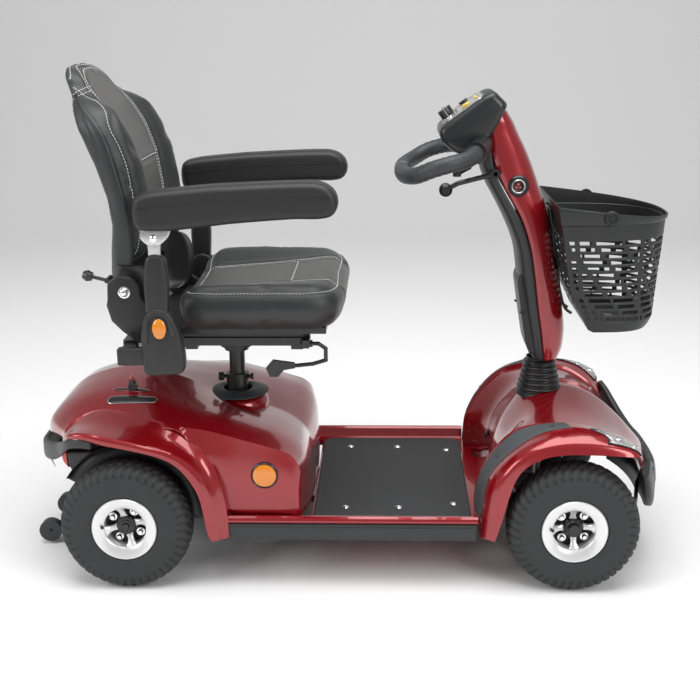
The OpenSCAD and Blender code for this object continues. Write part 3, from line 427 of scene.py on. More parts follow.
@dataclass(frozen=True)
class Finish:
    """One finish: its colours, gloss and the texture of its surface."""

    name: str
    slot: str
    colour: tuple
    second: tuple
    rough: tuple = (0.35, 0.5)
    metal: float = 0.0
    coat: float = 0.0
    texture: Texture = Texture.SMUDGE
    scale: float = 400.0
    bump: float = 0.2
    depth: float = 0.0002
    clear: float = 0.0
    sheen: float = 0.0
    specular: float = 0.5
    inset: tuple = ()

    def material(self) -> bpy.types.Material:
        """The material, made once and then shared."""
        found = bpy.data.materials.get(self.name)
        return found or self._make()

    def _make(self) -> bpy.types.Material:
        """Builds the nodes: one texture drives colour, roughness and bump together."""
        mat = bpy.data.materials.new(self.name)
        mat.use_nodes = True
        tree = mat.node_tree
        shader = tree.nodes["Principled BSDF"]
        shader.inputs["Metallic"].default_value = self.metal
        shader.inputs["Coat Weight"].default_value = self.coat
        shader.inputs["Coat Roughness"].default_value = 0.03
        shader.inputs["Transmission Weight"].default_value = self.clear
        shader.inputs["Sheen Weight"].default_value = self.sheen
        shader.inputs["Specular IOR Level"].default_value = self.specular
        coords = tree.nodes.new("ShaderNodeTexCoord").outputs["Object"]
        height, tone = self._pattern(tree, coords)
        broad = self._noise(tree, coords, 9.0, 3)
        mix = self._math(tree, "ADD", self._math(tree, "MULTIPLY", tone, 0.7),
                         self._math(tree, "MULTIPLY", broad, 0.3))
        colour = self._ramp(tree, mix, self.colour, self.second)
        if self.inset:
            colour = self._inset(tree, mix, colour)
        tree.links.new(colour, shader.inputs["Base Color"])
        rough = tree.nodes.new("ShaderNodeMapRange")
        rough.inputs["To Min"].default_value, rough.inputs["To Max"].default_value = self.rough
        tree.links.new(mix, rough.inputs["Value"])
        tree.links.new(rough.outputs["Result"], shader.inputs["Roughness"])
        if self.bump:
            bump = tree.nodes.new("ShaderNodeBump")
            bump.inputs["Strength"].default_value = self.bump
            bump.inputs["Distance"].default_value = self.depth
            tree.links.new(height, bump.inputs["Height"])
            tree.links.new(bump.outputs["Normal"], shader.inputs["Normal"])
        mat.diffuse_color = (*self.colour, 1)
        return mat

    def _inset(self, tree: bpy.types.NodeTree, mix: bpy.types.NodeSocket,
               colour: bpy.types.NodeSocket) -> bpy.types.NodeSocket:
        """Changes to the inset's colours where the mesh's panel distance is above zero."""
        place = tree.nodes.new("ShaderNodeAttribute")
        place.attribute_name = "panel"
        edge = tree.nodes.new("ShaderNodeMapRange")
        edge.inputs["From Min"].default_value = -0.0008
        edge.inputs["From Max"].default_value = 0.0008
        tree.links.new(place.outputs["Fac"], edge.inputs["Value"])
        blend = tree.nodes.new("ShaderNodeMix")
        blend.data_type = "RGBA"
        tree.links.new(edge.outputs["Result"], blend.inputs["Factor"])
        tree.links.new(colour, blend.inputs["A"])
        tree.links.new(self._ramp(tree, mix, *self.inset), blend.inputs["B"])
        return blend.outputs["Result"]

    def _noise(self, tree: bpy.types.NodeTree, coords: bpy.types.NodeSocket, scale: float,
               detail: int) -> bpy.types.NodeSocket:
        """Fractal noise at that many cells a metre."""
        node = tree.nodes.new("ShaderNodeTexNoise")
        node.inputs["Scale"].default_value = scale
        node.inputs["Detail"].default_value = detail
        tree.links.new(coords, node.inputs["Vector"])
        return node.outputs["Fac"]

    def _cells(self, tree: bpy.types.NodeTree, coords: bpy.types.NodeSocket, scale: float,
               feature: str, jitter: float = 1.0) -> bpy.types.Node:
        """Voronoi cells at that many a metre."""
        node = tree.nodes.new("ShaderNodeTexVoronoi")
        node.feature = feature
        node.inputs["Scale"].default_value = scale
        node.inputs["Randomness"].default_value = jitter
        tree.links.new(coords, node.inputs["Vector"])
        return node

    def _math(self, tree: bpy.types.NodeTree, kind: str, a: object, b: object
              ) -> bpy.types.NodeSocket:
        """One arithmetic step between sockets or numbers."""
        node = tree.nodes.new("ShaderNodeMath")
        node.operation = kind
        for k, value in enumerate((a, b)):
            if isinstance(value, (int, float)):
                node.inputs[k].default_value = value
            else:
                tree.links.new(value, node.inputs[k])
        return node.outputs[0]

    def _ramp(self, tree: bpy.types.NodeTree, factor: bpy.types.NodeSocket, a: tuple, b: tuple
              ) -> bpy.types.NodeSocket:
        """Blends two colours by a factor, over its middle range."""
        node = tree.nodes.new("ShaderNodeValToRGB")
        node.color_ramp.elements[0].position, node.color_ramp.elements[1].position = 0.25, 0.75
        node.color_ramp.elements[0].color = (*a, 1)
        node.color_ramp.elements[1].color = (*b, 1)
        tree.links.new(factor, node.inputs["Fac"])
        return node.outputs["Color"]

    def _pattern(self, tree: bpy.types.NodeTree, coords: bpy.types.NodeSocket
                 ) -> tuple[bpy.types.NodeSocket, bpy.types.NodeSocket]:
        """Height and tone of this finish's texture."""
        kind, scale = self.texture, self.scale
        if kind is Texture.FLAKE:
            cells = self._cells(tree, coords, scale, "F1")
            split = tree.nodes.new("ShaderNodeSeparateColor")
            tree.links.new(cells.outputs["Color"], split.inputs[0])
            return self._noise(tree, coords, 60, 2), split.outputs[0]
        if kind is Texture.LEATHER:
            edge = self._cells(tree, coords, scale, "DISTANCE_TO_EDGE").outputs["Distance"]
            fold = self._math(tree, "MINIMUM", self._math(tree, "MULTIPLY", edge, 5.0), 1.0)
            fine = self._noise(tree, coords, scale * 2.2, 2)
            height = self._math(tree, "ADD", fold, self._math(tree, "MULTIPLY", fine, 0.35))
            return height, self._math(tree, "MULTIPLY", height, 0.75)
        if kind is Texture.PIMPLE:
            near = self._cells(tree, coords, scale, "F1", 0.0).outputs["Distance"]
            dot = self._math(tree, "GREATER_THAN", 0.42, near)
            fine = self._noise(tree, coords, 900, 2)
            return self._math(tree, "ADD", dot, self._math(tree, "MULTIPLY", fine, 0.3)), fine
        if kind is Texture.BRUSHED:
            place = tree.nodes.new("ShaderNodeMapping")
            place.inputs["Scale"].default_value = (1.0, 14.0, 14.0)
            tree.links.new(coords, place.inputs["Vector"])
            lines = self._noise(tree, place.outputs["Vector"], scale, 3)
            return lines, lines
        if kind is Texture.PRISM:
            cells = self._cells(tree, coords, scale, "F1", 0.0).outputs["Distance"]
            return cells, cells
        if kind is Texture.FOAM:
            pores = self._cells(tree, coords, scale, "SMOOTH_F1").outputs["Distance"]
            return pores, self._noise(tree, coords, scale / 3, 3)
        if kind in (Texture.GRAIN, Texture.CAST):
            pits = self._cells(tree, coords, scale, "SMOOTH_F1").outputs["Distance"]
            fine = self._noise(tree, coords, scale * 1.7, 3)
            return self._math(tree, "ADD", pits, self._math(tree, "MULTIPLY", fine, 0.6)), fine
        fine = self._noise(tree, coords, scale, 3)
        return fine, fine


def grey(v: float, cool: float = 0.0) -> tuple:
    """A grey of that linear value, slightly cool where asked."""
    return (v * (1 - cool), v, v * (1 + cool))


RED = Finish("paint_candy_red", "body_red", (0.235, 0.002, 0.006), (0.315, 0.004, 0.010), (0.2, 0.27), 0.35,
             1.0, Texture.FLAKE, 1500, 0.02, 0.0002)
CHARCOAL = Finish("plastic_charcoal", "trim_plastic", grey(0.018, .06), grey(0.03, .06), (0.38, 0.5),
                  texture=Texture.GRAIN, scale=900, bump=0.22)
PAD_GREY = Finish("rubber_grip_pad", "trim_plastic", grey(0.05, .08), grey(0.075, .08), (0.55, 0.7),
                  texture=Texture.GRAIN, scale=650, bump=0.35)
BASKET = Finish("plastic_basket", "basket_plastic", grey(0.009, .05), grey(0.017, .05), (0.34, 0.46),
                texture=Texture.GRAIN, scale=1000, bump=0.18)
CONSOLE = Finish("plastic_console", "trim_plastic", grey(0.012, .05), grey(0.022, .05), (0.26, 0.36),
                 texture=Texture.GRAIN, scale=900, bump=0.15)
GRIP = Finish("rubber_grip", "grip_rubber", grey(0.026, .07), grey(0.042, .07), (0.42, 0.55),
              texture=Texture.GRAIN, scale=700, bump=0.2)
GAITER = Finish("rubber_gaiter", "gaiter_rubber", grey(0.012), grey(0.022), (0.3, 0.42),
                texture=Texture.GRAIN, scale=500, bump=0.12)
TYRE = Finish("rubber_tyre", "tyre", grey(0.017, .05), grey(0.028, .05), (0.55, 0.72),
              texture=Texture.GRAIN, scale=800, bump=0.3)
MAT = Finish("rubber_mat", "mat_rubber", grey(0.024, .06), grey(0.036, .06), (0.55, 0.7),
             texture=Texture.PIMPLE, scale=260, bump=0.35, depth=0.0003)
SILVER = Finish("alloy_silver", "rim_silver", grey(0.72), grey(0.82), (0.28, 0.36), 0.55, 0.3,
                Texture.CAST, 900, 0.08)
DRUM = Finish("black_drum", "frame_black", grey(0.01), grey(0.02), (0.3, 0.5), texture=Texture.CAST,
              scale=500, bump=0.3)
CHROME = Finish("chrome", "screw_steel", grey(0.78), grey(0.9), (0.06, 0.16), 1.0,
                texture=Texture.SMUDGE, scale=40, bump=0.0)
STEEL = Finish("steel_plate", "screw_steel", grey(0.55), grey(0.68), (0.22, 0.34), 1.0,
               texture=Texture.BRUSHED, scale=60, bump=0.08)
SHAFT = Finish("steel_shaft", "shaft_steel", grey(0.35), grey(0.5), (0.28, 0.4), 1.0,
               texture=Texture.BRUSHED, scale=50, bump=0.08)
POWDER = Finish("powder_coat", "frame_black", grey(0.012), grey(0.022), (0.32, 0.42), 0.0, 0.2,
                Texture.CAST, 1200, 0.2)
GLOSS = Finish("gloss_black", "gloss_black", grey(0.008), grey(0.014), (0.12, 0.22), 0.0, 0.5,
               Texture.SMUDGE, 60, 0.0)
CAST_GREY = Finish("cast_grey", "cast_grey", grey(0.16), grey(0.24), (0.42, 0.6), 0.8,
                   texture=Texture.CAST, scale=350, bump=0.45)
CASE = Finish("battery_case", "battery_case", grey(0.05), grey(0.07), (0.4, 0.5),
              texture=Texture.GRAIN, scale=700, bump=0.15)
VINYL_TWO = Finish("leather_two_tone", "seat_vinyl", grey(0.011, .05), grey(0.024, .05),
                   (0.3, 0.42), texture=Texture.LEATHER, scale=520, bump=0.36, depth=0.0003,
                   sheen=0.08, inset=(grey(0.03, -.04), grey(0.055, -.04)))
THREAD = Finish("thread_white", "seat_vinyl", grey(0.55), grey(0.75), (0.6, 0.8),
                texture=Texture.SMUDGE, scale=900, bump=0.3)
SHELL = Finish("leather_shell", "shell_black", grey(0.014, .06), grey(0.024, .06), (0.34, 0.46),
               texture=Texture.LEATHER, scale=620, bump=0.25, depth=0.0002)
HINGE = Finish("plastic_hinge_cover", "shell_black", grey(0.012), grey(0.022), (0.34, 0.46),
               texture=Texture.GRAIN, scale=900, bump=0.2)
ARM = Finish("foam_arm", "arm_foam", grey(0.009), grey(0.016), (0.42, 0.56), texture=Texture.FOAM,
             scale=1100, bump=0.3)
AMBER = Finish("lens_amber", "lamp_amber", (0.85, 0.22, 0.005), (1.0, 0.36, 0.01), (0.08, 0.16), 0.0,
               1.0, Texture.PRISM, 220, 0.5, 0.0006, 0.25)
RED_LENS = Finish("lens_red", "lamp_red", (0.75, 0.01, 0.01), (0.95, 0.05, 0.02), (0.08, 0.16), 0.0,
                  1.0, Texture.PRISM, 240, 0.4, 0.0005, 0.3)
CLEAR = Finish("lens_clear", "lamp_clear", grey(0.9), grey(1.0), (0.03, 0.08), 0.0, 0.0,
               Texture.PRISM, 150, 0.25, 0.0006, 0.9)
REFLECTOR = Finish("lamp_reflector", "lamp_clear", grey(0.75), grey(0.9), (0.08, 0.16), 1.0,
                   texture=Texture.PRISM, scale=130, bump=0.5, depth=0.0008)
PLATE = Finish("console_silver", "panel_silver", grey(0.42), grey(0.52), (0.24, 0.32), 0.7, 0.4,
               Texture.BRUSHED, 80, 0.05)
YELLOW = Finish("button_yellow", "button_yellow", (0.7, 0.45, 0.01), (0.85, 0.6, 0.03), (0.25, 0.35),
                texture=Texture.SMUDGE, scale=120, bump=0.05)


def dress(finish: Finish, *nodes: str) -> None:
    """Gives CAD nodes that stay shown their finish."""
    for name in nodes:
        obj = frame["nodes"][name]
        if not obj.material_slots:
            obj.data.materials.append(None)
        for slot in obj.material_slots:
            slot.material = finish.material()
        LOG.info("%s keeps its CAD form in %s", name, finish.name)


def lifted(g: np.ndarray, lift: np.ndarray | float) -> np.ndarray:
    """A grid moved along its own normals, the cross product of its two gradients."""
    du, dv = np.gradient(g, axis=0), np.gradient(g, axis=1)
    n = np.cross(du, dv)
    n /= np.linalg.norm(n, axis=-1, keepdims=True) + 1e-9
    n *= np.where(n[..., 2:3].mean() < 0, -1, 1)
    return g + n * (lift[..., None] if isinstance(lift, np.ndarray) else lift)


def mirrored(g: np.ndarray, side: float) -> np.ndarray:
    """A grid on the left for side 1, and its mirror image on the right for side -1."""
    return g * np.array([1, side, 1])


def band(path: np.ndarray, out: np.ndarray, half_t: np.ndarray, half_h: np.ndarray,
         sides: int = 20, power: float = 0.55) -> np.ndarray:
    """A rounded strip along a path: each section is a superellipse in the plane of out and Z.

    Args:
        path: points (n, 3).
        out: unit vectors (n, 3) across the strip.
        half_t: half thickness along out, for each point.
        half_h: half height, for each point.
        sides: points round.
        power: exponent of the superellipse, 1 for an ellipse.

    Returns:
        Grid (n, sides, 3).
    """
    a = np.linspace(0, 2 * pi, sides, endpoint=False)
    c = np.sign(np.cos(a)) * np.abs(np.cos(a))**power
    s = np.sign(np.sin(a)) * np.abs(np.sin(a))**power
    wide = (half_t[:, None] * c)[..., None] * out[:, None]
    tall = (half_h[:, None] * s)[..., None] * np.array([0, 0, 1.0])
    return path[:, None] + wide + tall


# ---- wheels ---------------------------------------------------------------------------------

@dataclass
class Wheel:
    """A pneumatic tyre with lugged shoulders on a four-spoke alloy rim."""

    name: str
    x: float
    side: float
    driven: bool
    radius: float = 130
    half_track: float = 250
    lugs: int = 44

    def centre(self) -> tuple:
        """The wheel's middle."""
        return (self.x, self.side * self.half_track, self.radius)

    def tyre(self) -> None:
        """A carcass turned about the axle, its tread cut by the product of two wave masks.

        Shoulder grooves follow cos(lugs * angle + skew * |h|), crown grooves are half a lug
        further on, and two rings part crown and shoulders. Grooves are 2.8 deep.
        """
        half = [(64.4, 33), (67, 36), (74, 38.6), (87, 39.8), (101, 39.6), (112, 37.6),
                (121, 32.5), (126.6, 24), (129.3, 12), (130, 0)]
        knots = np.array([(r, -h) for r, h in half] + [(r, h) for r, h in half[-2::-1]])
        prof = flow(knots, 78)
        a = np.linspace(0, 2 * pi, 396, endpoint=False)[None]
        r, h = prof[:, :1], prof[:, 1:]
        d = np.gradient(prof, axis=0)
        n = np.column_stack([-d[:, 1], d[:, 0]])
        n /= np.linalg.norm(n, axis=1, keepdims=True)
        n *= np.sign(n[len(n) // 2, 0])
        turn = 1.0 if self.side > 0 else -1.0
        wave = np.cos(self.lugs * a * turn + 0.13 * np.abs(h))
        cross = np.cos(self.lugs * a * turn + pi + 0.2 * h)
        shoulder = np.clip((np.abs(h) - 15) / 2, 0, 1) * np.clip((r - 103) / 4, 0, 1)
        crown = np.clip((13 - np.abs(h)) / 2, 0, 1)
        ring = np.exp(-((np.abs(h) - 14) / 1.6)**2)
        cut = np.clip((wave - 0.30) * 3.2, 0, 1) * shoulder
        cut = np.maximum(cut, np.clip((cross - 0.45) * 3.2, 0, 1) * crown)
        cut = np.maximum(cut, ring * (r > 110))
        fine = 0.5 * np.exp(-((r - 78) / 1.1)**2) + 0.5 * np.exp(-((r - 99) / 1.0)**2)
        rr = r + n[:, :1] * (fine - 2.8 * cut)
        hh = h + n[:, 1:] * (fine - 2.8 * cut)
        cx, cy, cz = self.centre()
        g = np.stack([cx + rr * np.cos(a), cy + self.side * hh + 0 * a, cz + rr * np.sin(a)], -1)
        shape = Shape(f"{self.name}_tyre_lugged").grid(g, close_v=True)
        obj = shape.build(f"{self.name}_wheel", TYRE, wall=3.0, sharp=50)
        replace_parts(obj, f"{self.name}_tyre")

    def rim(self) -> None:
        """A turned barrel and flange, four flared spokes, a dark drum behind and chrome bolts."""
        c = self.centre()
        s = self.side

        def ring(profile: list, finish: int, sides: int = 72) -> None:
            """Adds one turned part, its heights counted outwards."""
            p = np.array(profile, float) * [1, s]
            shape.grid(turned(p, c, "y", sides), close_v=True, finish=finish)

        shape = Shape(f"{self.name}_rim_four_spoke")
        ring([(60, -35), (64.2, -34), (64.2, -31), (56, -28), (52, -10), (52, 14), (57, 28),
              (62, 33), (64.2, 35), (62.5, 37), (58, 36.2), (50, 33.0), (43.5, 30.5),
              (41.6, 28.5), (41.2, 25), (42, 8), (43, -8), (48, -20), (54, -33), (60, -35)], 0)
        ring([(0.01, -4), (43, -4), (43, 0), (24, 1), (22, 6), (0.01, 6)], 1)
        r = np.linspace(15, 43, 15)[:, None]
        t = np.linspace(-1, 1, 11)[None]
        half = 5.2 + 5.6 * ((r - 28) / 14)**2
        height = 14 + 13 * ((r - 15) / 28)**1.6 - 2.6 * t**2
        for k in range(4):
            a = k * pi / 2 + (0.25 if self.driven else 0.05) + half * t / r
            top = np.stack([c[0] + r * np.cos(a), c[1] + s * height + 0 * a,
                            c[2] + r * np.sin(a)], -1)
            low = top - np.array([0, s * 7, 0])
            loop = np.concatenate([top, low[:, ::-1]], 1)
            shape.grid(loop, close_v=True, caps=True, finish=0)
            b = (k + 0.5) * pi / 2 + (0.25 if self.driven else 0.05)
            place = (c[0] + 31 * cos(b), c[1], c[2] + 31 * sin(b))
            bolt = np.array([(0.01, 17), (4.0, 16.2), (5.4, 13.5), (5.4, 9), (8.2, 9), (8.2, 6),
                             (0.01, 6)]) * [1, s]
            shape.grid(turned(bolt, place, "y", 18), close_v=True, finish=2)
        if self.driven:
            ring([(0.01, 27), (6, 27), (7.5, 25), (8, 22), (12.5, 22), (13.5, 20.5), (13.5, 19),
                  (17, 18.5), (19, 16), (19.5, 6), (19.5, -30), (8.5, -30), (8.5, -188),
                  (0.01, -188)], 3, 48)
        else:
            ring([(12.2, 17), (12.2, 22.4), (14.5, 22.4), (16, 20.5), (18.5, 18.5), (19.8, 15),
                  (20, -30), (12.2, -30), (12.2, 17)], 3, 48)
        obj = shape.build(f"{self.name}_wheel", SILVER, DRUM, CHROME, GLOSS, sharp=32)
        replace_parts(obj, f"{self.name}_rim")

    def valve(self) -> None:
        """A rubber valve stem with its cap, between two spokes."""
        cx, cy, cz = self.centre()
        a = 0.25 + pi * 0.9
        base = np.array([cx + 50 * cos(a), cy + self.side * 20, cz + 50 * sin(a)])
        tip = base + np.array([-9 * cos(a), self.side * 18, -9 * sin(a)])
        path = base + (tip - base) * np.linspace(0, 1, 9)[:, None]
        radius = np.array([3.6, 3.2, 2.6, 2.6, 3.4, 3.4, 3.4, 3.2, 1.6])
        Shape(f"{self.name}_valve").grid(swept(path, radius, 12), close_v=True,
                                         caps=True).build(f"{self.name}_wheel", GLOSS)

    def make(self) -> None:
        """Builds the wheel."""
        self.tyre()
        self.rim()
        self.valve()


# ---- rear cowl ------------------------------------------------------------------------------

def tuck(p: np.ndarray) -> np.ndarray:
    """Draws the tail's outer corners forward by up to 30, so the plan is rounded there."""
    wide = np.clip((np.abs(p[:, 1]) - 80) / 130, 0, 1)
    back = np.clip((-p[:, 0] - 30) / 150, 0, 1)
    shift = 30 * wide * wide * (3 - 2 * wide) * back
    return p + shift[:, None] * np.array([1.0, 0, 0])


@dataclass
class RearCowl:
    """The painted cowl over the batteries and the drive, with its fenders and lamps."""

    body: str = "chassis"
    spine: list = field(default_factory=lambda: [
        (-203, 244), (-198, 272), (-178, 306), (-140, 344), (-95, 366), (-45, 377), (20, 372),
        (80, 353), (140, 329), (200, 308), (258, 290), (308, 268), (340, 238), (354, 200),
        (360, 165), (361, 133)])
    shoulder: list = field(default_factory=lambda: [
        (-152, 205, 285), (-150, 203, 300), (-138, 192, 314), (-112, 178, 327), (-72, 168, 336),
        (-34, 172, 336), (10, 186, 332), (60, 208, 328), (115, 229, 322), (170, 237, 316),
        (227, 240, 301), (285, 241, 285), (324, 240, 270), (341, 240, 246), (344.5, 238, 195),
        (344.5, 236, 137)])
    inner: list = field(default_factory=lambda: [
        (-154, 203, 290), (-142, 208, 306), (-112, 190, 325), (-72, 172, 336), (-34, 176, 336),
        (10, 190, 331), (60, 212, 325), (108, 229, 315), (142, 240, 292), (163, 250, 270),
        (178, 257, 247), (190, 264, 212), (198, 268, 176), (202, 270, 143), (203, 270, 108)])
    crease: list = field(default_factory=lambda: [
        (-157, 206, 291), (-138, 240, 307), (-112, 264, 321), (-72, 273, 324), (-34, 276, 319),
        (6, 278, 312), (46, 279, 302), (88, 280, 290), (118, 280, 276), (141, 280, 256),
        (157, 280, 232), (168, 280, 202), (176, 280, 168), (182, 280, 138), (186, 280, 106)])
    edge: list = field(default_factory=lambda: [
        (-155, 208, 281), (-139, 242, 296), (-113, 267, 310), (-73, 277, 311), (-35, 280, 303),
        (4, 282, 296), (42, 283, 288), (79, 283, 277), (107, 283, 261), (129, 283, 236),
        (147, 283, 203), (156, 283, 163), (161, 283, 130), (166, 283, 112), (171, 283, 103)])

    def deck_grid(self) -> np.ndarray:
        """The left half of the deck, front face and side panel, as a smooth net.

        Column 0 is the spine, columns 1 and 2 lie a share of the way to the shoulder line and
        drop by the square of that share, column 3 is the shoulder line, and columns 4 and 5 are
        the side panel, which is tucked in under the fender behind X 150.
        """
        s = np.array([(x, 0, z) for x, z in self.spine], float)
        e = np.array(self.shoulder, float)
        cols = [s]
        for part, crown in ((0.4, 9.0), (0.75, 10.0)):
            col = s + (e - s) * part
            col[:, 2] += crown * np.array([.4, .4, .5, .6, .7, .8, .9, 1, 1, 1, 1, .9, .6, .3, .1, 0])
            col[:, 0] += np.array([-10, -10, -8, -4, 0, 0, 0, 0, 0, 0, 0, 2, 4, 6, 7, 7])
            cols.append(col)
        cols.append(e)
        front = np.clip((e[:, 0] - 115) / 60, 0, 1)
        mid, low = e + [0, 6, -5], e + [0, 12, -10]
        mid_front = np.column_stack([
            [0] * 8 + [150, 190, 228, 283, 316, 332, 341, 343.5],
            [249] * 14 + [245, 241], [0] * 8 + [260, 238, 230, 225, 215, 196, 170, 139]])
        low_front = np.column_stack([
            [0] * 8 + [160, 196, 228, 270, 300, 320, 334, 342.5],
            [248] * 14 + [247, 244], [144] * 14 + [142, 138]])
        f = front[:, None]
        cols += [mid * (1 - f) + mid_front * f, low * (1 - f) + low_front * f]
        net = np.stack(cols, 1)
        dense = flow(net, 150)
        across = creased(dense.transpose(1, 0, 2), [3], [34, 16])
        return across.transpose(1, 0, 2)

    def deck(self) -> bpy.types.Object:
        """The deck, mirrored about the spine into one sheet and given its wall."""
        half = self.deck_grid()
        full = np.concatenate([mirrored(half, -1)[:, :0:-1], half], 1)
        obj = Shape("rear_cowl_deck").grid(full).build(self.body, RED, wall=2.5, sharp=30,
                                                       warp=tuck)
        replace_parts(obj, "rear_cowl")
        return obj

    def fender_grid(self) -> np.ndarray:
        """The left fender: a hollow flank between inner line and crease, a rolled flange, a lip.

        The flank's middle is drawn in by 5, the flange's middle stands out by 3, and the last
        column turns the edge inwards by 16.
        """
        i, c, e = (np.array(v, float) for v in (self.inner, self.crease, self.edge))
        back = i + [0, -14, -7]
        step = np.clip((i[:, 0] - 130) / 40, 0, 1)[:, None]
        back = back + step * (np.column_stack([i[:, 0] + 3, np.full(len(i), 243), i[:, 2]]) - back)
        flank = (i + c) / 2 + [0, -4, -3]
        flange = (c + e) / 2 + [0, 2.5, 1.5]
        lip = e + [0, -16, -1]
        net = np.stack([back, i, flank, c, flange, e, lip], 1)
        dense = flow(net, 130)
        across = creased(dense.transpose(1, 0, 2), [1, 3, 5], [4, 14, 10, 4])
        return across.transpose(1, 0, 2)

    def fenders(self) -> None:
        """Both rear fenders."""
        g = self.fender_grid()
        for side, word in zip(SIDES, ("right", "left")):
            Shape(f"rear_fender_{word}").grid(mirrored(g, side)).build(
                self.body, RED, wall=2.4, sharp=34, warp=tuck)

    def bumper(self) -> None:
        """The dark bumper lip that follows the cowl's rear rim, and the valance below it."""
        half = np.array([(-206, 0, 226), (-203, 60, 228), (-199, 100, 231), (-184, 160, 246),
                         (-160, 205, 268), (-141, 240, 284), (-122, 262, 298), (-95, 274, 303),
                         (-62, 278, 300)], float)
        loop = np.concatenate([half[:0:-1] * [1, -1, 1], half])
        path = flow(loop, 121)
        run = np.gradient(path, axis=0) * [1, 1, 0]
        out = np.column_stack([-run[:, 1], run[:, 0], 0 * run[:, 0]])
        out /= np.linalg.norm(out, axis=1, keepdims=True)
        share = np.abs(np.linspace(-1, 1, 121))
        half_h = 20 - 14 * np.clip((share - 0.45) / 0.55, 0, 1)**0.8
        half_t = 6.5 - 4 * np.clip((share - 0.6) / 0.4, 0, 1)
        shape = Shape("rear_bumper_lip").grid(band(path, out, half_t, half_h), close_v=True,
                                              caps=True)
        low = path[36:85].copy()
        rows = [low * [0.985, 0.97, 1] + [0, 0, dz] for dz in (-6, -22)]
        base = rows[1].copy()
        base[:, 2] = 200
        base[:, 0] += 6
        sheet = creased(np.stack([rows[0], rows[1], base]), [1], [3, 8])
        shape.grid(sheet)
        obj = shape.build(self.body, CHARCOAL, sharp=40, warp=tuck)
        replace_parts(obj, "rear_bumper")
        for side, word in zip(SIDES, ("right", "left")):
            a = np.linspace(radians(-4), radians(150), 60)
            y = np.array([120.0, 150, 180, 209])
            roof = np.stack([np.cos(a)[:, None] * 149 + 0 * y, 0 * a[:, None] + y,
                             130 + np.sin(a)[:, None] * 149 + 0 * y], -1)
            r = np.array([149.0, 120, 90, 62])
            wall = np.stack([np.cos(a)[:, None] * r, 0 * a[:, None] + 204 + 0 * r,
                             130 + np.sin(a)[:, None] * r], -1)
            Shape(f"rear_arch_liner_{word}").grid(mirrored(roof, side)).grid(
                mirrored(wall, side)).build(self.body, DRUM, wall=2.0, sharp=40)

    def lamps(self) -> None:
        """Tail lamps in dark housings below the bumper, with a bezel and a two-part lens."""
        lens = Shape("tail_lamp_lenses")
        house = Shape("tail_lamp_housings")
        for side in SIDES:
            body = rounded(np.array([(-150, 262), (-148, 232), (-138, 216), (-60, 214),
                                     (-50, 240), (-52, 262)]), 12)
            house.slab(body, side * 181 - 22, side * 181 + 22, 5)
            glass = rounded(np.array([(-152, 262), (-147, 264), (-145, 224), (-150, 226),
                                      (-160, 236), (-164, 250), (-160, 260)]), 5)
            lens.slab(glass, side * 181 - 20, side * 181 + 20, 4)
        house.build(self.body, GLOSS, warp=tuck)
        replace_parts(lens.build(self.body, RED_LENS, warp=tuck), "tail_lamps")

    def markers(self) -> None:
        """Round amber markers on the side panels: a domed lens in a chrome-edged black bezel."""
        shape = Shape("side_marker_lenses")
        for side in SIDES:
            c = (274, side * 248.5, 230)
            dome = np.array([(0.01, 6.2), (10, 5.9), (18, 4.9), (22.5, 3.2), (23.5, 1.2),
                             (23.5, -3), (0.01, -3)]) * [1, side]
            rim = np.array([(23.6, -3), (23.8, 3.0), (25, 3.8), (26.6, 2.4), (27.2, -3)]) * [1, side]
            shape.grid(turned(dome, c), close_v=True, finish=0)
            shape.grid(turned(rim, c), close_v=True, finish=1)
        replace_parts(shape.build(self.body, AMBER, GLOSS), "side_markers")

    def fittings(self, deck: bpy.types.Object) -> None:
        """The lever's slot frame, a plain outlined plate and the boss under the seat post.

        Args:
            deck: the finished deck, whose height the fittings follow.
        """
        low = Surface(deck)
        run = low.strip([(-44, -111), (26, -111)], 9, 30)
        frame_run = low.strip([(-48, -111), (30, -111)], 13, 30)
        shape = Shape("lever_slot").grid(lifted(frame_run, 0.8), finish=0)
        shape.grid(lifted(run, 1.3), finish=1)
        shape.build(self.body, RED, DRUM, wall=0.6, sharp=20)
        plate = low.strip([(-52, -143), (50, -143)], 22, 30)
        inner = low.strip([(-50, -143), (48, -143)], 18, 30)
        Shape("deck_plate").grid(lifted(plate, 0.8), finish=0).grid(
            lifted(inner, 1.2), finish=1).build(self.body, PLATE, GLOSS, wall=0.4, sharp=20)
        boss = np.array([(66, 276), (66.5, 292), (65.5, 304), (62, 313), (57, 318), (50, 320),
                         (40, 320)])
        Shape("seat_post_boss").grid(turned(boss, (195, 0, 0), "z", 96), close_v=True).build(
            self.body, RED, wall=2.0, sharp=40)
        dish = np.array([(30.5, 331), (36, 333.5), (48, 331), (60, 327.5), (65, 325.5),
                         (65.2, 323), (62, 321.5), (52, 321), (30.5, 321)])
        obj = Shape("post_dish_moulded").grid(turned(dish, (195, 0, 0), "z", 96),
                                              close_v=True).build(self.body, GRIP, sharp=50)
        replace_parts(obj, "post_dish")

    def make(self) -> None:
        """Builds the rear cowl and what sits on it."""
        deck = self.deck()
        self.fenders()
        self.bumper()
        self.lamps()
        self.markers()
        self.fittings(deck)


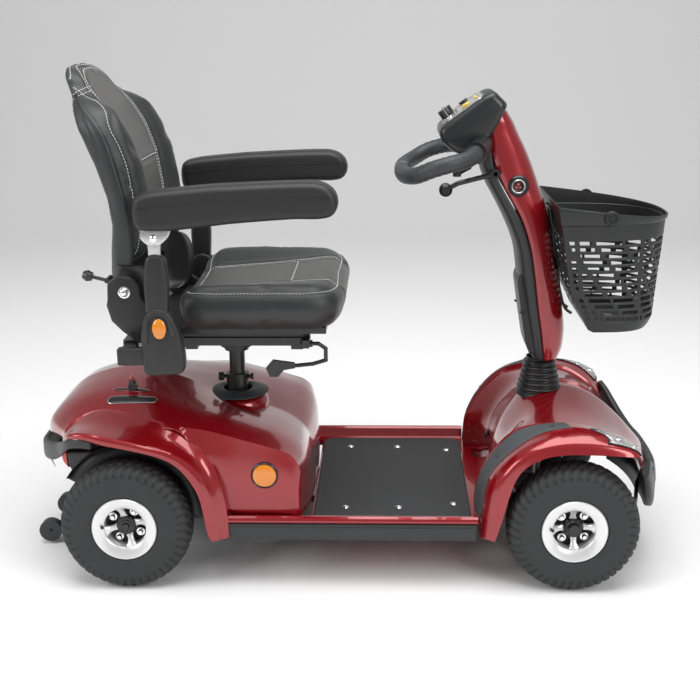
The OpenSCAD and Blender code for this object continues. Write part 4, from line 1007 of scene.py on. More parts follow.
class Surface:
    """Finds places on a finished mesh by casting rays at it."""

    def __init__(self, obj: bpy.types.Object) -> None:
        """Builds the search tree of an object's evaluated mesh."""
        bpy.context.view_layer.update()
        self.tree = BVHTree.FromObject(obj, bpy.context.evaluated_depsgraph_get())

    def drop(self, points: np.ndarray, direction: tuple = (0, 0, -1), reach: float = 300
             ) -> np.ndarray:
        """Moves points along a direction onto the surface; a ray that misses keeps its point.

        Args:
            points: points (..., 3) in millimetres.
            direction: the rays' direction.
            reach: how far before each point its ray starts, in millimetres.

        Returns:
            The places hit, in millimetres.
        """
        d = Vector(direction).normalized()
        flat = metres(np.asarray(points, float).reshape(-1, 3))
        hits = []
        for p in flat:
            hit = self.tree.ray_cast(Vector(p) - d * (reach / 1000), d)[0]
            hits.append(p if hit is None else hit)
        back = (np.array(hits) - np.array([AXLE_X, 0, 0])) * 1000
        return back.reshape(np.shape(points))

    def holds(self, points: np.ndarray, limit: float = 1.2) -> bool:
        """Whether every point lies within a limit, in millimetres, of the surface."""
        return all(self.tree.find_nearest(Vector(p), limit / 1000)[0] is not None
                   for p in metres(points))

    def strip(self, line: list, width: float, count: int, rows: int = 5) -> np.ndarray:
        """A strip laid on the surface from above, round-ended, along a straight line in plan.

        Args:
            line: its two ends (x, y).
            width: the strip's width.
            count: points along it.
            rows: points across it.

        Returns:
            Grid (count, rows, 3).
        """
        a, b = np.array(line, float)
        s = np.linspace(0, 1, count)
        d = (b - a) / np.linalg.norm(b - a)
        side = np.array([-d[1], d[0]])
        end = np.clip(np.minimum(s, 1 - s) * np.linalg.norm(b - a) / (width / 2), 0, 1)
        half = width / 2 * np.sqrt(np.clip(1 - (1 - end)**2, 0.02, 1))
        t = np.linspace(-1, 1, rows)
        xy = a + (b - a) * s[:, None]
        plan = xy[:, None] + side * (half[:, None] * t)[..., None]
        return self.drop(np.concatenate([plan, np.full(plan.shape[:2] + (1,), 400.0)], -1))


# ---- front cowl -----------------------------------------------------------------------------

@dataclass
class FrontCowl:
    """The painted nose over the front wheels, with its grip pads, headlamps and bumper."""

    body: str = "chassis"
    spine: list = field(default_factory=lambda: [
        (735, 108), (733, 160), (738, 205), (752, 250), (776, 292), (802, 325), (833, 338),
        (880, 339), (920, 330), (963, 306), (1000, 273), (1030, 240), (1053, 212), (1066, 188)])
    centre_edge: list = field(default_factory=lambda: [
        (733, 128, 108), (731, 128, 160), (736, 127, 202), (750, 125, 245), (773, 122, 284),
        (801, 119, 312), (833, 117, 322), (880, 116, 320), (920, 116, 311), (958, 116, 290),
        (990, 114, 262), (1016, 112, 235), (1036, 110, 210), (1048, 108, 190)])
    pad_inner: list = field(default_factory=lambda: [
        (690, 185, 108), (687, 185, 160), (693, 186, 206), (710, 188, 244), (738, 192, 284),
        (768, 196, 310), (806, 200, 322), (849, 204, 326), (888, 206, 323), (925, 206, 313),
        (958, 202, 294), (985, 198, 270), (1004, 194, 244), (1014, 190, 222)])
    pad_outer: list = field(default_factory=lambda: [
        (693, 236, 108), (698, 236, 155), (704, 236, 200), (716, 236, 234), (742, 236, 266),
        (774, 236, 294), (812, 236, 316), (855, 236, 326), (892, 236, 325), (926, 236, 318),
        (958, 234, 305), (984, 231, 284), (1000, 228, 262), (1008, 226, 240)])
    crown: list = field(default_factory=lambda: [
        (698, 268, 107), (706, 269, 160), (714, 269, 205), (729, 268, 243), (758, 267, 278),
        (798, 266, 304), (842, 264, 315), (888, 262, 317), (922, 261, 314), (953, 260, 307),
        (980, 258, 296), (994, 255, 284), (1003, 252, 270), (1007, 250, 254)])
    edge: list = field(default_factory=lambda: [
        (722, 284, 107), (738, 284, 163), (747, 284, 200), (761, 284, 240), (784, 284, 266),
        (820, 284, 283), (858, 284, 288), (892, 284, 288), (925, 284, 287), (955, 283, 285),
        (978, 281, 283), (991, 277, 280), (998, 272, 274), (1002, 266, 262)])

    def net(self) -> np.ndarray:
        """The left half: spine, centre edge, both pad lines, fender crown, outer crease, edge.

        The outer crease stands between crown and edge, pushed out by 6 along Y and up by 4.
        """
        s = np.array([(x, 0, z) for x, z in self.spine], float)
        c, a, b, w, e = (np.array(v, float) for v in (
            self.centre_edge, self.pad_inner, self.pad_outer, self.crown, self.edge))
        step = a + [2.5, -3, -7]
        out = (w + e) / 2 + [-3, 4, 4]
        net = np.stack([s, c, step, a, b, w, out, e, e + [0, -18, -2]], 1)
        dense = flow(net, 140)
        across = creased(dense.transpose(1, 0, 2), [2, 3, 4, 7], [22, 3, 10, 22, 4])
        return across.transpose(1, 0, 2)

    def patch(self, g: np.ndarray, rows: tuple, cols: tuple, lift: float, inset: int = 3
              ) -> np.ndarray:
        """Part of the net lifted off the cowl, its rim rows dropped back to the surface.

        Args:
            g: the net.
            rows: first and last row.
            cols: first and last column.
            lift: height above the cowl in millimetres.
            inset: rows and columns over which the height builds up.

        Returns:
            The lifted grid.
        """
        part = g[rows[0]:rows[1], cols[0]:cols[1]]
        nu, nv = part.shape[:2]
        du = np.minimum(np.arange(nu), np.arange(nu)[::-1]) / inset
        dv = np.minimum(np.arange(nv), np.arange(nv)[::-1]) / max(1, inset // 2)
        h = np.clip(np.minimum(du[:, None], dv[None]), 0, 1)
        return lifted(part, lift * np.sqrt(h * (2 - h)) - 0.3)

    def make(self) -> None:
        """Builds the nose, its pads, lamps, screws and bumper."""
        half = self.net()
        full = np.concatenate([mirrored(half, -1)[:, :0:-1], half], 1)
        obj = Shape("front_cowl_nose").grid(full).build(self.body, RED, wall=2.5, sharp=26)
        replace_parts(obj, "front_cowl")
        pads, mirror_box, lens = (Shape(n) for n in ("grip_pad_strips", "headlamp_reflectors",
                                                     "headlamp_lenses"))
        dots = Shape("grip_pad_screws")
        for side in SIDES:
            g = mirrored(half, side)
            pads.grid(self.patch(g, (8, 92), (24, 34), 2.4))
            mirror_box.grid(self.patch(g, (104, 129), (33, 46), 1.0))
            lens.grid(self.patch(g, (102, 131), (32, 47), 4.0, 5))
            for k in (14, 40, 74):
                p = lifted(g[8:92, 24:34], 2.2)[k, 5]
                dots.ball(tuple(p), (3.2, 3.2, 1.6), sides=14)
        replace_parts(pads.build(self.body, PAD_GREY, wall=1.0, sharp=60), "grip_pads")
        dots.build(self.body, DRUM)
        mirror_box.build(self.body, REFLECTOR, wall=0.5, sharp=60)
        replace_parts(lens.build(self.body, CLEAR, wall=1.4, sharp=60), "headlamps")
        self.lamp_frames(half)
        self.bumper()
        self.liners()

    def lamp_frames(self, half: np.ndarray) -> None:
        """A dark frame line around each headlamp and two round bulbs' bowls behind the lens."""
        shape = Shape("headlamp_bowls")
        for side in SIDES:
            g = lifted(mirrored(half, side), 1.2)
            rim = np.concatenate([g[102:131, 32], g[130, 32:47], g[102:131, 46][::-1],
                                  g[102, 32:47][::-1]])
            shape.grid(swept(flow(rim[::3], 120, True), 1.5, 8, closed=True), close_u=True,
                       close_v=True, finish=0)
            for row, col in ((111, 39), (121, 40)):
                p = g[row, col]
                shape.ball(tuple(p - np.array([0, 0, 1.0])), (9, 9, 4), 1, 18)
        shape.build(self.body, GLOSS, CHROME)

    def bumper(self) -> None:
        """The charcoal bumper that hangs from the nose: a deep rounded band round the front."""
        half = np.array([(1062, 0, 150), (1060, 60, 152), (1053, 110, 158), (1042, 160, 180),
                         (1030, 200, 209), (1020, 230, 234), (1011, 250, 250)], float)
        loop = np.concatenate([half[:0:-1] * [1, -1, 1], half])
        path = flow(loop, 111)
        run = np.gradient(path, axis=0) * [1, 1, 0]
        out = np.column_stack([run[:, 1], -run[:, 0], 0 * run[:, 0]])
        out /= np.linalg.norm(out, axis=1, keepdims=True)
        out *= np.sign(out[55, 0])
        share = np.abs(np.linspace(-1, 1, 111))
        half_h = 52 - 34 * np.clip((share - 0.3) / 0.7, 0, 1)**1.2
        half_t = 14 - 7 * share
        obj = Shape("front_bumper_band").grid(band(path, out, half_t, half_h, 28, 0.5),
                                              close_v=True, caps=True)
        ridge = band(path[8:103] + out[8:103] * 5.2 + [0, 0, 12], out[8:103], half_t[8:103] * .55,
                     half_h[8:103] * 0.16, 16, 0.6)
        obj.grid(ridge, close_v=True, caps=True)
        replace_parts(obj.build(self.body, CHARCOAL, sharp=50), "front_bumper")

    def liners(self) -> None:
        """Dark inner walls of the front wheel wells and the panel behind the bumper."""
        for side, word in zip(SIDES, ("right", "left")):
            a = np.linspace(radians(38), radians(160), 54)
            reach = np.interp(np.abs(np.degrees(a) - 90), [24, 32], [206, 150])
            y = 96 + np.linspace(0, 1, 4) * (reach[:, None] - 96)
            roof = np.stack([875 + np.cos(a)[:, None] * 152 + 0 * y, y,
                             130 + np.sin(a)[:, None] * 150 + 0 * y], -1)
            Shape(f"front_arch_liner_{word}").grid(mirrored(roof, side)).build(
                self.body, DRUM, wall=2.0, sharp=40)
        y = np.linspace(-150, 150, 31)
        z = np.array([112.0, 140, 180])
        x = 1046 - 30 * (np.abs(y) / 150)**2.2
        sheet = np.stack([x[:, None] + 0 * z, y[:, None] + 0 * z, z + 0 * y[:, None]], -1)
        Shape("nose_valance").grid(sheet).build(self.body, DRUM, wall=2.0)


# ---- floor ----------------------------------------------------------------------------------

@dataclass
class Floor:
    """The footboard: painted sills, rubber mat, screws and the dark skirts."""

    body: str = "chassis"
    x0: float = 160
    x1: float = 690
    half: float = 270
    mat: tuple = (366, 681, 229)

    def make(self) -> None:
        """Builds the floor's pieces."""
        rows = [(222, 127), (238, 127.2), (246, 129), (250, 138), (253, 146.5), (257, 149.6),
                (263, 150), (268, 147.5), (270, 143.5), (269.6, 139.5), (266, 136.4), (254, 136),
                (252, 127), (246, 123), (238, 121.5), (222, 121.5)]
        prof = np.array(rows, float)
        x = np.linspace(self.x0 + 28, self.x1, 30)
        tray = Shape("footboard_tray")
        for side in SIDES:
            g = np.stack([x[:, None] + 0 * prof[:, 0], side * prof[:, 0] + 0 * x[:, None],
                          prof[:, 1] + 0 * x[:, None]], -1)
            tray.grid(g, close_v=True, caps=True)
        a, b = self.mat[0] - 4, self.x1 + 2
        outline = np.array([(a, 121.5), (b, 121.5), (b, 127), (a, 127)])
        tray.slab(outline, -223, 223, 0.8)
        for start, end, width in ((self.x1 - 8, 706, 190), (704, 750, 118)):
            toe = np.array([(start, 121.5), (end, 121.5), (end, 128), (start, 127.2)])
            tray.slab(toe, -width, width, 0.8)
        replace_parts(tray.build(self.body, RED, sharp=30), "floor_tray")
        x0, x1, w = self.mat
        plan = rounded(np.array([(x0, -w), (x1, -w), (x1, w), (x0, w)]), 26, 10)
        rim = [(0.0, 127.2), (0.0, 130), (1.2, 131), (5, 131), (6.5, 130.3), (9, 130.3)]
        centre = plan.mean(0)
        size = np.abs(plan - centre).max(0)
        grids = np.array([np.column_stack([centre + (plan - centre) * (1 - d / size),
                                           np.full(len(plan), z)]) for d, z in rim])
        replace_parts(Shape("floor_mat_moulded").grid(grids, close_v=True, caps=True).build(
            self.body, MAT, sharp=50), "floor_mat")
        screws = Shape("floor_mat_screws")
        for sx, sy in ((429, 172), (537, 172), (649, 153)):
            for side in SIDES:
                dome = np.array([(0.01, 132.1), (1.6, 132.2), (2.2, 133.2), (5.2, 132.6),
                                 (7.2, 130.9), (7.2, 129), (0.01, 129)])
                screws.grid(turned(dome, (sx, side * sy, 0), "z", 24), close_v=True)
        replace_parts(screws.build(self.body, CHROME), "floor_screws")
        skirts = Shape("side_skirt_panels")
        line = rounded(np.array([(160, 104), (166, 97), (298, 97), (303, 101), (688, 101),
                                 (689, 135.6), (160, 135.6)]), 4)
        for side in SIDES:
            y = sorted((side * 256, side * 267))
            skirts.slab(line, y[0], y[1], 2.0)
            y = sorted((side * 262, side * 268.5))
            skirts.slab(rounded(np.array([(206, 107), (686, 107), (686, 129), (206, 129)]), 5),
                        y[0], y[1], 1.5)
        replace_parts(skirts.build(self.body, CHARCOAL, sharp=35), "side_skirts")


# ---- tiller ---------------------------------------------------------------------------------

@dataclass
class Tiller:
    """The steering column's covers, console, handlebar loop and small controls."""

    body: str = "tiller"
    steer_x: float = 833
    stations: list = field(default_factory=lambda: [
        # z, front, seam, rear, half width
        (404, 866, 836, 815, 50), (420, 874, 833, 808, 54), (457, 879, 828, 801, 58),
        (520, 872, 818, 790, 61), (580, 861, 810, 780, 63), (640, 848, 799, 770, 64),
        (699, 838, 778, 746, 64), (735, 828, 757, 727, 64), (770, 815, 737, 708, 64),
        (806, 802, 722, 697, 64), (840, 788, 716, 702, 64), (870, 773, 712, 706, 64),
        (898, 760, 716, 712, 62), (914, 750, 722, 719, 56)])

    def covers(self) -> None:
        """Front and rear cover: each ring runs from seam to seam as a superellipse.

        Front ring: x = seam + (front - seam) cos(a)^0.62 and y = width sin(a) with the same
        power; the rear ring does the same towards the rear line, 1.2 narrower at the seam.
        """
        st = flow(np.array(self.stations, float), 110)
        z, f, s, r, w = (st[:, k:k + 1] for k in range(5))
        a = np.linspace(-pi / 2, pi / 2, 37)
        c, q = np.abs(np.cos(a))**0.7, np.sign(np.sin(a)) * np.abs(np.sin(a))**0.75
        lean = np.clip((z - 560) / 350, 0, 1)
        front = np.stack([s + (f - s) * c, w * q + 0 * s, z + lean * 16 * (c - 0.5) * -1], -1)
        front = np.concatenate([front, front[-1:] * [1, .9, 1] + [-4, 0, -2]])
        obj = Shape("tiller_cover_red").grid(front).build(self.body, RED, wall=2.6, sharp=40)
        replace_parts(obj, "tiller_front_cover")
        c2 = np.abs(np.cos(a))**0.55
        rear = np.stack([s - 0.8 + (r - s) * c2, (w - 1.2) * q + 0 * s, z - lean * 8 * (0.5 - c2)],
                        -1)
        groove = np.exp(-((z[:, 0] - 592) / 1.6)**2)[:, None, None]
        mid = np.array([float(np.mean(s)), 0, 0])
        rear = rear - groove * 1.6 * np.sign(rear - mid) * [1, 1, 0]
        shape = Shape("tiller_cover_rear").grid(rear)
        box_line = rounded(np.array([(806, 416), (819, 420), (812, 500), (803, 590), (786, 596),
                                     (776, 570), (786, 505), (797, 440)]), 9)
        shape.slab(box_line, -50, 50, 6)
        obj = shape.build(self.body, CHARCOAL, wall=2.4, sharp=40)
        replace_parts(obj, "tiller_rear_cover")
        details = Shape("tiller_vents")
        for k, (x, z0) in enumerate([(838, 612), (838, 604), (839, 594), (841, 585), (841, 578),
                                     (854, 596), (854, 586), (855, 576), (856, 566), (857, 556)]):
            for side in SIDES:
                y = side * (62.2 if k < 5 else 54.5)
                details.ball((x - 2, y, z0), (2.0, 1.3, 2.0), sides=12)
        for side in SIDES:
            details.ball((788, side * 50.5, 508), (7, 2.2, 3.2), sides=16)
            line = flow(np.array([(782, side * 51, 588), (790, side * 52.5, 520),
                                  (800, side * 51.5, 450), (806, side * 48, 418)], float), 40)
            details.grid(swept(line, 1.1, 8), close_v=True, caps=True)
        details.build(self.body, DRUM)
        self.socket()

    def socket(self) -> None:
        """The charging socket: a raised red collar, chrome ring, black insert and pin block."""
        c = (770, -64, 766)

        def ring(profile: list, finish: int) -> None:
            """Adds one turned part of the socket, counted outwards."""
            p = np.array(profile, float) * [1, -1]
            shape.grid(turned(p, c, "y", 40), close_v=True, finish=finish)

        shape = Shape("charging_socket")
        ring([(22, -6), (21, 0.5), (18, 3.0), (14.5, 3.4), (13.8, 1)], 0)
        ring([(13.8, -6), (13.8, 4.4), (12.6, 5.2), (11.4, 4.4), (11.2, 0)], 1)
        ring([(11.2, 3.4), (9.6, 3.8), (8.1, 3.0), (8.0, -12), (0.01, -12)], 2)
        for k in range(3):
            a = pi / 2 + k * 2 * pi / 3
            pin = np.array([(0.01, 0.6), (1.2, 0.2), (1.4, -11), (0.01, -11)]) * [1, -1]
            shape.grid(turned(pin, (c[0] + 4 * cos(a), c[1], c[2] + 4 * sin(a)), "y", 12),
                       close_v=True, finish=1)
        shape.build(self.body, GLOSS, STEEL, DRUM, sharp=30)

    def console(self) -> None:
        """The console's rounded wedge, its silver panel, its dials and apex cap."""
        sx = self.steer_x
        line = rounded(np.array([(sx - 220, 866), (sx - 216, 881), (sx - 130, 944),
                                 (sx - 114, 948), (sx - 88, 922), (sx - 104, 888),
                                 (sx - 122, 858), (sx - 143, 828), (sx - 184, 828),
                                 (sx - 210, 848)]), 13, 8)
        shape = Shape("console_wedge").slab(line, -74, 74, 13)
        obj = shape.build(self.body, CONSOLE, sharp=55)
        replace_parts(obj, "console_housing")
        a = atan2(64, 89)
        base = np.array([sx - 217, 0, 881.0])
        up, out = np.array([cos(a), 0, sin(a)]), np.array([-sin(a), 0, cos(a)])
        plan = rounded(np.array([(8, -46), (20, -62), (98, -66), (101, -40), (101, 40), (98, 66),
                                 (20, 62), (8, 46)]), 12, 7)
        rows = []
        for inset, height in ((0, -0.5), (0, 1.6), (0.8, 2.4), (4, 2.7), (4.6, 2.2)):
            p = plan * (1 - inset / 60)
            p[:, 0] += 52 * inset / 60
            rows.append(base + p[:, :1] * up + p[:, 1:] * [0, 1, 0] + height * out)
        panel = Shape("console_top_panel").grid(np.array(rows), close_v=True, caps=True)
        obj = panel.build(self.body, PLATE, sharp=50)
        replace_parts(obj, "console_panel")
        self.dials(base, up, out)
        cap_line = rounded(np.array([(sx - 136, 941), (sx - 114, 949.5), (sx - 86, 922),
                                     (sx - 97, 903), (sx - 108, 920)]), 9, 8)
        Shape("console_apex_cap").slab(cap_line, -60, 60, 12).build(self.body, CHARCOAL, sharp=55)

    def dials(self, base: np.ndarray, up: np.ndarray, out: np.ndarray) -> None:
        """Fine ticks round the speed knob and a row of small lamps for the charge.

        Args:
            base: the panel's origin.
            up: unit vector up the slope.
            out: unit vector out of the panel.
        """
        marks = Shape("console_ticks")
        for k in range(11):
            a = radians(-135 + 27 * k)
            p = [base + up * (24 + r * cos(a)) + np.array([0, r * sin(a), 0]) + out * 2.9
                 for r in (17.5, 21.5)]
            marks.grid(swept(np.linspace(p[0], p[1], 4), 0.45, 6), close_v=True, caps=True)
        lamps = Shape("charge_lamps")
        for k in range(5):
            p = base + up * 88 + np.array([0, -20 + 10 * k, 0]) + out * 2.8
            lamps.ball(tuple(p), (2.6, 2.6, 1.6), sides=14)
        marks.build(self.body, GLOSS)
        lamps.build(self.body, YELLOW)

    def handlebar(self) -> None:
        """The loop: one smooth tube from one side of the console round the back to the other."""
        sx = self.steer_x
        half = np.array([(sx - 128, 52, 853), (sx - 146, 96, 838), (sx - 176, 150, 826),
                         (sx - 205, 168, 821), (sx - 235, 166, 812), (sx - 262, 146, 799),
                         (sx - 281, 104, 792.5), (sx - 289, 48, 791), (sx - 289, 0, 791)], float)
        loop = np.concatenate([half, half[-2::-1] * [1, -1, 1]])
        path = flow(loop, 170)
        n = len(path)
        s = np.abs(np.linspace(-1, 1, n))
        radius = 16 + 0.35 * np.sin(np.arange(n) * 1.9) * (s < 0.86) * (s > 0.06)
        shape = Shape("handlebar_grip").grid(swept(path, radius, 28), close_v=True, caps=True)
        obj = shape.build(self.body, GRIP, sharp=60)
        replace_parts(obj, "handlebar")
        bands = Shape("handlebar_bands")
        mid = n // 2
        bands.grid(swept(path[mid - 4:mid + 5], 16.8, 28), close_v=True, caps=True)
        for seg in (path[2:15], path[-15:-2]):
            r = 16 + np.interp(np.arange(13), [0, 2, 4, 9, 12], [6, 5.5, 4.2, 3.6, 0.4])
            bands.grid(swept(seg, r, 28), close_v=True, caps=True)
        bands.build(self.body, CONSOLE, sharp=50)

    def make(self) -> None:
        """Builds the tiller."""
        self.covers()
        self.console()
        self.handlebar()
        self.gaiter()

    def gaiter(self) -> None:
        """Seven ribs of a rubber bellows, round in plan, narrowing upwards."""
        z, r = [321.5], [49.5]
        for k in range(7):
            top = 323.5 + 11 * k
            rr = 46.5 - 2.5 * k
            z += [top, top + 2.0, top + 4.6, top + 7.0, top + 9.2]
            r += [rr + 1, rr + 2.2, rr + 0.6, rr - 4.2, rr - 4.6]
        z += [401, 402, 402]
        r += [28.5, 28, 25.5]
        z += [395, 340, 321.5]
        r += [25.6, 30, 47]
        prof = flow(np.column_stack([r, z]), 190)
        g = turned(prof, (self.steer_x, 0, 0), "z", 72)
        obj = Shape("gaiter_bellows").grid(g, close_u=False, close_v=True).build(
            "steering", GAITER, sharp=60)
        obj.parent = None
        del obj["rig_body"]
        top = metres(np.array([self.steer_x, 0, 398.0]))
        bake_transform(obj)
        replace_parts(obj, "gaiter")


# ---- basket ---------------------------------------------------------------------------------

@dataclass
class Basket:
    """A D-shaped moulded basket with slotted walls, a rim and its hanger."""

    body: str = "basket"
    steer_x: float = 833

    def ring(self, z: np.ndarray, count: int) -> np.ndarray:
        """Plan outlines at heights z: half width and both ends of X are smooth functions of z.

        The outline is flat at the back and a superellipse at the front:
        x = back + (front - back) cos(a)^0.72 and y = half sin(a)^0.8 over a half turn.
        """
        sx = self.steer_x
        back = np.interp(z, [481, 490, 573, 700, 738], [sx + 92, sx + 76, sx + 36, sx + 14, sx + 8])
        front = np.interp(z, [481, 488, 503, 671, 706], [sx + 206, sx + 214, sx + 221, sx + 234,
                                                         sx + 236])
        half = np.interp(z, [481, 490, 700, 740], [118, 122, 146, 149])
        n_back = count // 4
        a = np.linspace(-pi / 2, pi / 2, 4000)
        c, s = np.abs(np.cos(a))**0.62, np.sign(np.sin(a)) * np.abs(np.sin(a))**0.8
        run = np.concatenate([[0], np.cumsum(np.hypot(np.diff(c) * 190, np.diff(s) * 140))])
        at = np.interp(np.linspace(0, run[-1], count - n_back), run, np.arange(4000.0))
        c, s = (np.interp(at, np.arange(4000.0), v) for v in (c, s))
        x = back[:, None] + (front - back)[:, None] * c
        y = half[:, None] * s
        yb = np.linspace(1, -1, n_back + 2)[1:-1]
        x = np.hstack([x, np.repeat(back[:, None], n_back, 1)])
        y = np.hstack([y, half[:, None] * yb])
        return np.stack([x, y, z[:, None] + 0 * x], -1)

    def make(self) -> None:
        """Builds the walls with their slots, the rim, floor, bosses and hanger."""
        z = np.concatenate([[484, 490], np.arange(496, 704, 2.6)])
        g = self.ring(z, 260)
        step = np.linalg.norm(np.diff(g[40], axis=0, append=g[40][:1]), axis=1)
        s = np.concatenate([[0], np.cumsum(step)])[:-1]
        row, pitch, tall = z - 504, 13.0, 8.0
        band_no = np.floor(row / pitch)
        in_band = (row >= 0) & (z < 668) & ((row % pitch) < tall)
        along = s[None] + band_no[:, None] * 9.0
        cell, length = 54.0, 47.0
        wide = np.where((band_no % 3) == 0, length, length - 5)[:, None]
        in_slot = (along % cell) < wide
        edge_gap = np.minimum(s, s[-1] - s) > 6
        ny = np.abs(g[..., 1])
        front = g[..., 0] > self.steer_x + 214
        solid_post = (np.abs((s[None] % 124) - 20) < 5)
        slot = in_band[:, None] & in_slot & edge_gap[None] & ~solid_post
        slot &= ~((z[:, None] < 530) & (ny < 60) & front)
        wall_shape = Shape("basket_wall")
        wall_shape.grid_where(g, ~slot)
        middle = g[0].mean(0)
        bottom = np.stack([g[0] * [k, k, 1] + middle * [1 - k, 1 - k, 0] - [0, 0, (1 - k) * 3]
                           for k in (1, 0.97, 0.9, 0.5, 0.05)])
        wall_shape.grid(bottom[::-1], close_v=True, caps=False)
        obj = wall_shape.build(self.body, BASKET, wall=2.6, sharp=45)
        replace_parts(obj, "basket")
        rim_z = np.array([700, 702.5, 704, 722, 730, 736, 737.5, 736.5, 728, 702, 700.0])
        out = np.array([0, 2.6, 3.0, 4.0, 4.4, 4.2, 2.5, 0.6, 0.0, -0.6, 0])
        base = self.ring(rim_z, 260)
        tilt = np.clip((base[..., 0] - self.steer_x - 8) / 230, 0, 1)
        drop = np.clip((rim_z[:, None] - 702) / 36, 0, 1) * tilt * 29
        centre = np.array([self.steer_x + 118, 0])
        n = base[..., :2] - centre
        n /= np.linalg.norm(n, axis=-1, keepdims=True)
        base[..., :2] += n * out[:, None, None]
        base[..., 2] -= drop
        Shape("basket_rim").grid(base, close_v=True, close_u=True).build(self.body, BASKET,
                                                                        sharp=50)
        bosses = Shape("basket_bosses")
        for side in SIDES:
            c = (self.steer_x + 106, side * 151, 716)
            p = np.array([(0.01, 3.5), (4, 3.5), (4.6, 2), (8, 2), (9, 4.4), (12.5, 4.0),
                          (14, 2), (14.2, -4), (0.01, -4)]) * [1, side]
            bosses.grid(turned(p, c, "y", 32), close_v=True)
        bosses.build(self.body, BASKET, sharp=35)
        self.hanger()

    def hanger(self) -> None:
        """Two bent steel wires and a cross plate that the basket hangs on, on the tiller."""
        sx = self.steer_x
        shape = Shape("basket_hanger_wires")
        for y in (-26.0, 26.0):
            line = flow(np.array([(sx + 6, y, 720), (sx + 9, y, 700), (sx + 14, y, 655),
                                  (sx + 25, y, 600), (sx + 33, y, 545), (sx + 50, y, 505),
                                  (sx + 58, y, 500)], float), 50)
            shape.grid(swept(line, 3.0, 14), close_v=True, caps=True)
        plate = rounded(np.array([(sx + 2, 716), (sx + 6, 719), (sx + 22, 640), (sx + 29, 596),
                                  (sx + 25, 592), (sx + 18, 636)]), 2)
        shape.slab(plate, -36, 36, 1.2)
        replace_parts(shape.build("tiller", POWDER), "basket_bracket")


# ---- seat -----------------------------------------------------------------------------------

def fall(d: np.ndarray, radius: float) -> np.ndarray:
    """1 at an edge and 0 from radius inwards, along a quarter circle."""
    t = 1 - np.clip(d / radius, 0, 1)
    return 1 - np.sqrt(1 - t * t)


def ease(x: np.ndarray, a: float, b: float) -> np.ndarray:
    """0 below a, 1 above b, with a smooth cubic between."""
    t = np.clip((x - a) / (b - a), 0, 1)
    return t * t * (3 - 2 * t)


def both(half: list) -> np.ndarray:
    """A half line (side, other) from bottom to top and its mirror image back down."""
    h = np.array(half, float)
    return np.concatenate([h, h[::-1] * [-1, 1]])


@dataclass
class Pillow:
    """A stuffed form over a plan outline, from two height functions that meet at its rim.

    plan: closed outline (n, 2), symmetrical about its second axis.
    spine: range of the second coordinate on which the rings close.
    top, bottom, rim: functions of plan points giving heights.
    radii: edge radii of the top and bottom.
    place: turns (n, 3) rows (side, along, height) into millimetres of the scooter.
    """

    name: str
    plan: np.ndarray
    spine: tuple
    top: object
    bottom: object
    rim: object
    radii: tuple
    place: object
    cap: float = 8.0
    voxel: float = 0.005
    fill: float = 0.75

    def grid(self) -> np.ndarray:
        """Rings from the middle of the bottom out to the rim and back in over the top."""
        p = flow(self.plan, 160, True)
        c = np.column_stack([0 * p[:, 0], np.clip(p[:, 1], *self.spine)])
        k = 1 - np.cos(np.linspace(0, pi / 2, 26))
        rows = []
        for share in k[::-1]:
            q = p + (c - p) * share
            d = np.linalg.norm(q - p, axis=1)
            low = self.bottom(q)
            rows.append(np.column_stack([q, low + (self.rim(q) - low) * fall(d, self.radii[1])]))
        for share in k[1:]:
            q = p + (c - p) * share
            d = np.linalg.norm(q - p, axis=1)
            high = self.top(q)
            rows.append(np.column_stack([q, high + (self.rim(q) - high) * fall(d, self.radii[0])]))
        g = np.array(rows)
        return self.place(g.reshape(-1, 3)).reshape(g.shape)

    def stuffed(self, body: str, finish: Finish) -> bpy.types.Object:
        """Meshes the form, lets cloth pressure plump it up, and returns the dressed object."""
        rough = Shape(self.name + "_form").grid(self.grid(), close_v=True).build(body, finish)
        mod = rough.modifiers.new("voxels", "REMESH")
        mod.mode, mod.voxel_size = "VOXEL", self.voxel
        cloth = rough.modifiers.new("stuffing", "CLOTH")
        cloth.settings.use_pressure = True
        cloth.settings.uniform_pressure_force = 4.0
        cloth.settings.effector_weights.gravity = 0.0
        cloth.settings.quality = 5
        cloth.point_cache.frame_start, cloth.point_cache.frame_end = 1, 20
        start = self.positions(rough, 1)
        end = self.positions(rough, 20)
        move = end - start
        far = np.linalg.norm(move, axis=1, keepdims=True) + 1e-9
        limit = self.cap / 1000
        verts = start + move / far * limit * np.tanh(far / limit)
        faces = self.faces
        bpy.context.scene.frame_set(1)
        bpy.data.objects.remove(rough)
        mesh = bpy.data.meshes.new(self.name)
        mesh.from_pydata(verts.tolist(), [], faces)
        mesh.shade_smooth()
        obj = bpy.data.objects.new(self.name, mesh)
        bpy.context.scene.collection.objects.link(obj)
        mesh.materials.append(finish.material())
        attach(obj, body)
        LOG.info("%s: %d points, moved up to %.1f mm", self.name, len(verts), far.max() * 1000)
        return obj

    def positions(self, obj: bpy.types.Object, frame_no: int) -> np.ndarray:
        """Vertex places of the evaluated object once the scene has stepped to that frame."""
        for k in range(1, frame_no + 1):
            bpy.context.scene.frame_set(k)
        deps = bpy.context.evaluated_depsgraph_get()
        mesh = obj.evaluated_get(deps).data
        co = np.empty(len(mesh.vertices) * 3, np.float32)
        mesh.vertices.foreach_get("co", co)
        self.faces = [tuple(p.vertices) for p in mesh.polygons]
        return co.reshape(-1, 3).astype(float)


def arrays(obj: bpy.types.Object) -> tuple:
    """Vertex places in the scooter's millimetres, and vertex normals."""
    n = len(obj.data.vertices)
    co, no = np.empty(n * 3, np.float32), np.empty(n * 3, np.float32)
    obj.data.vertices.foreach_get("co", co)
    obj.data.vertex_normals.foreach_get("vector", no)
    return (co.reshape(-1, 3).astype(float) - [AXLE_X, 0, 0]) * 1000, no.reshape(-1, 3)


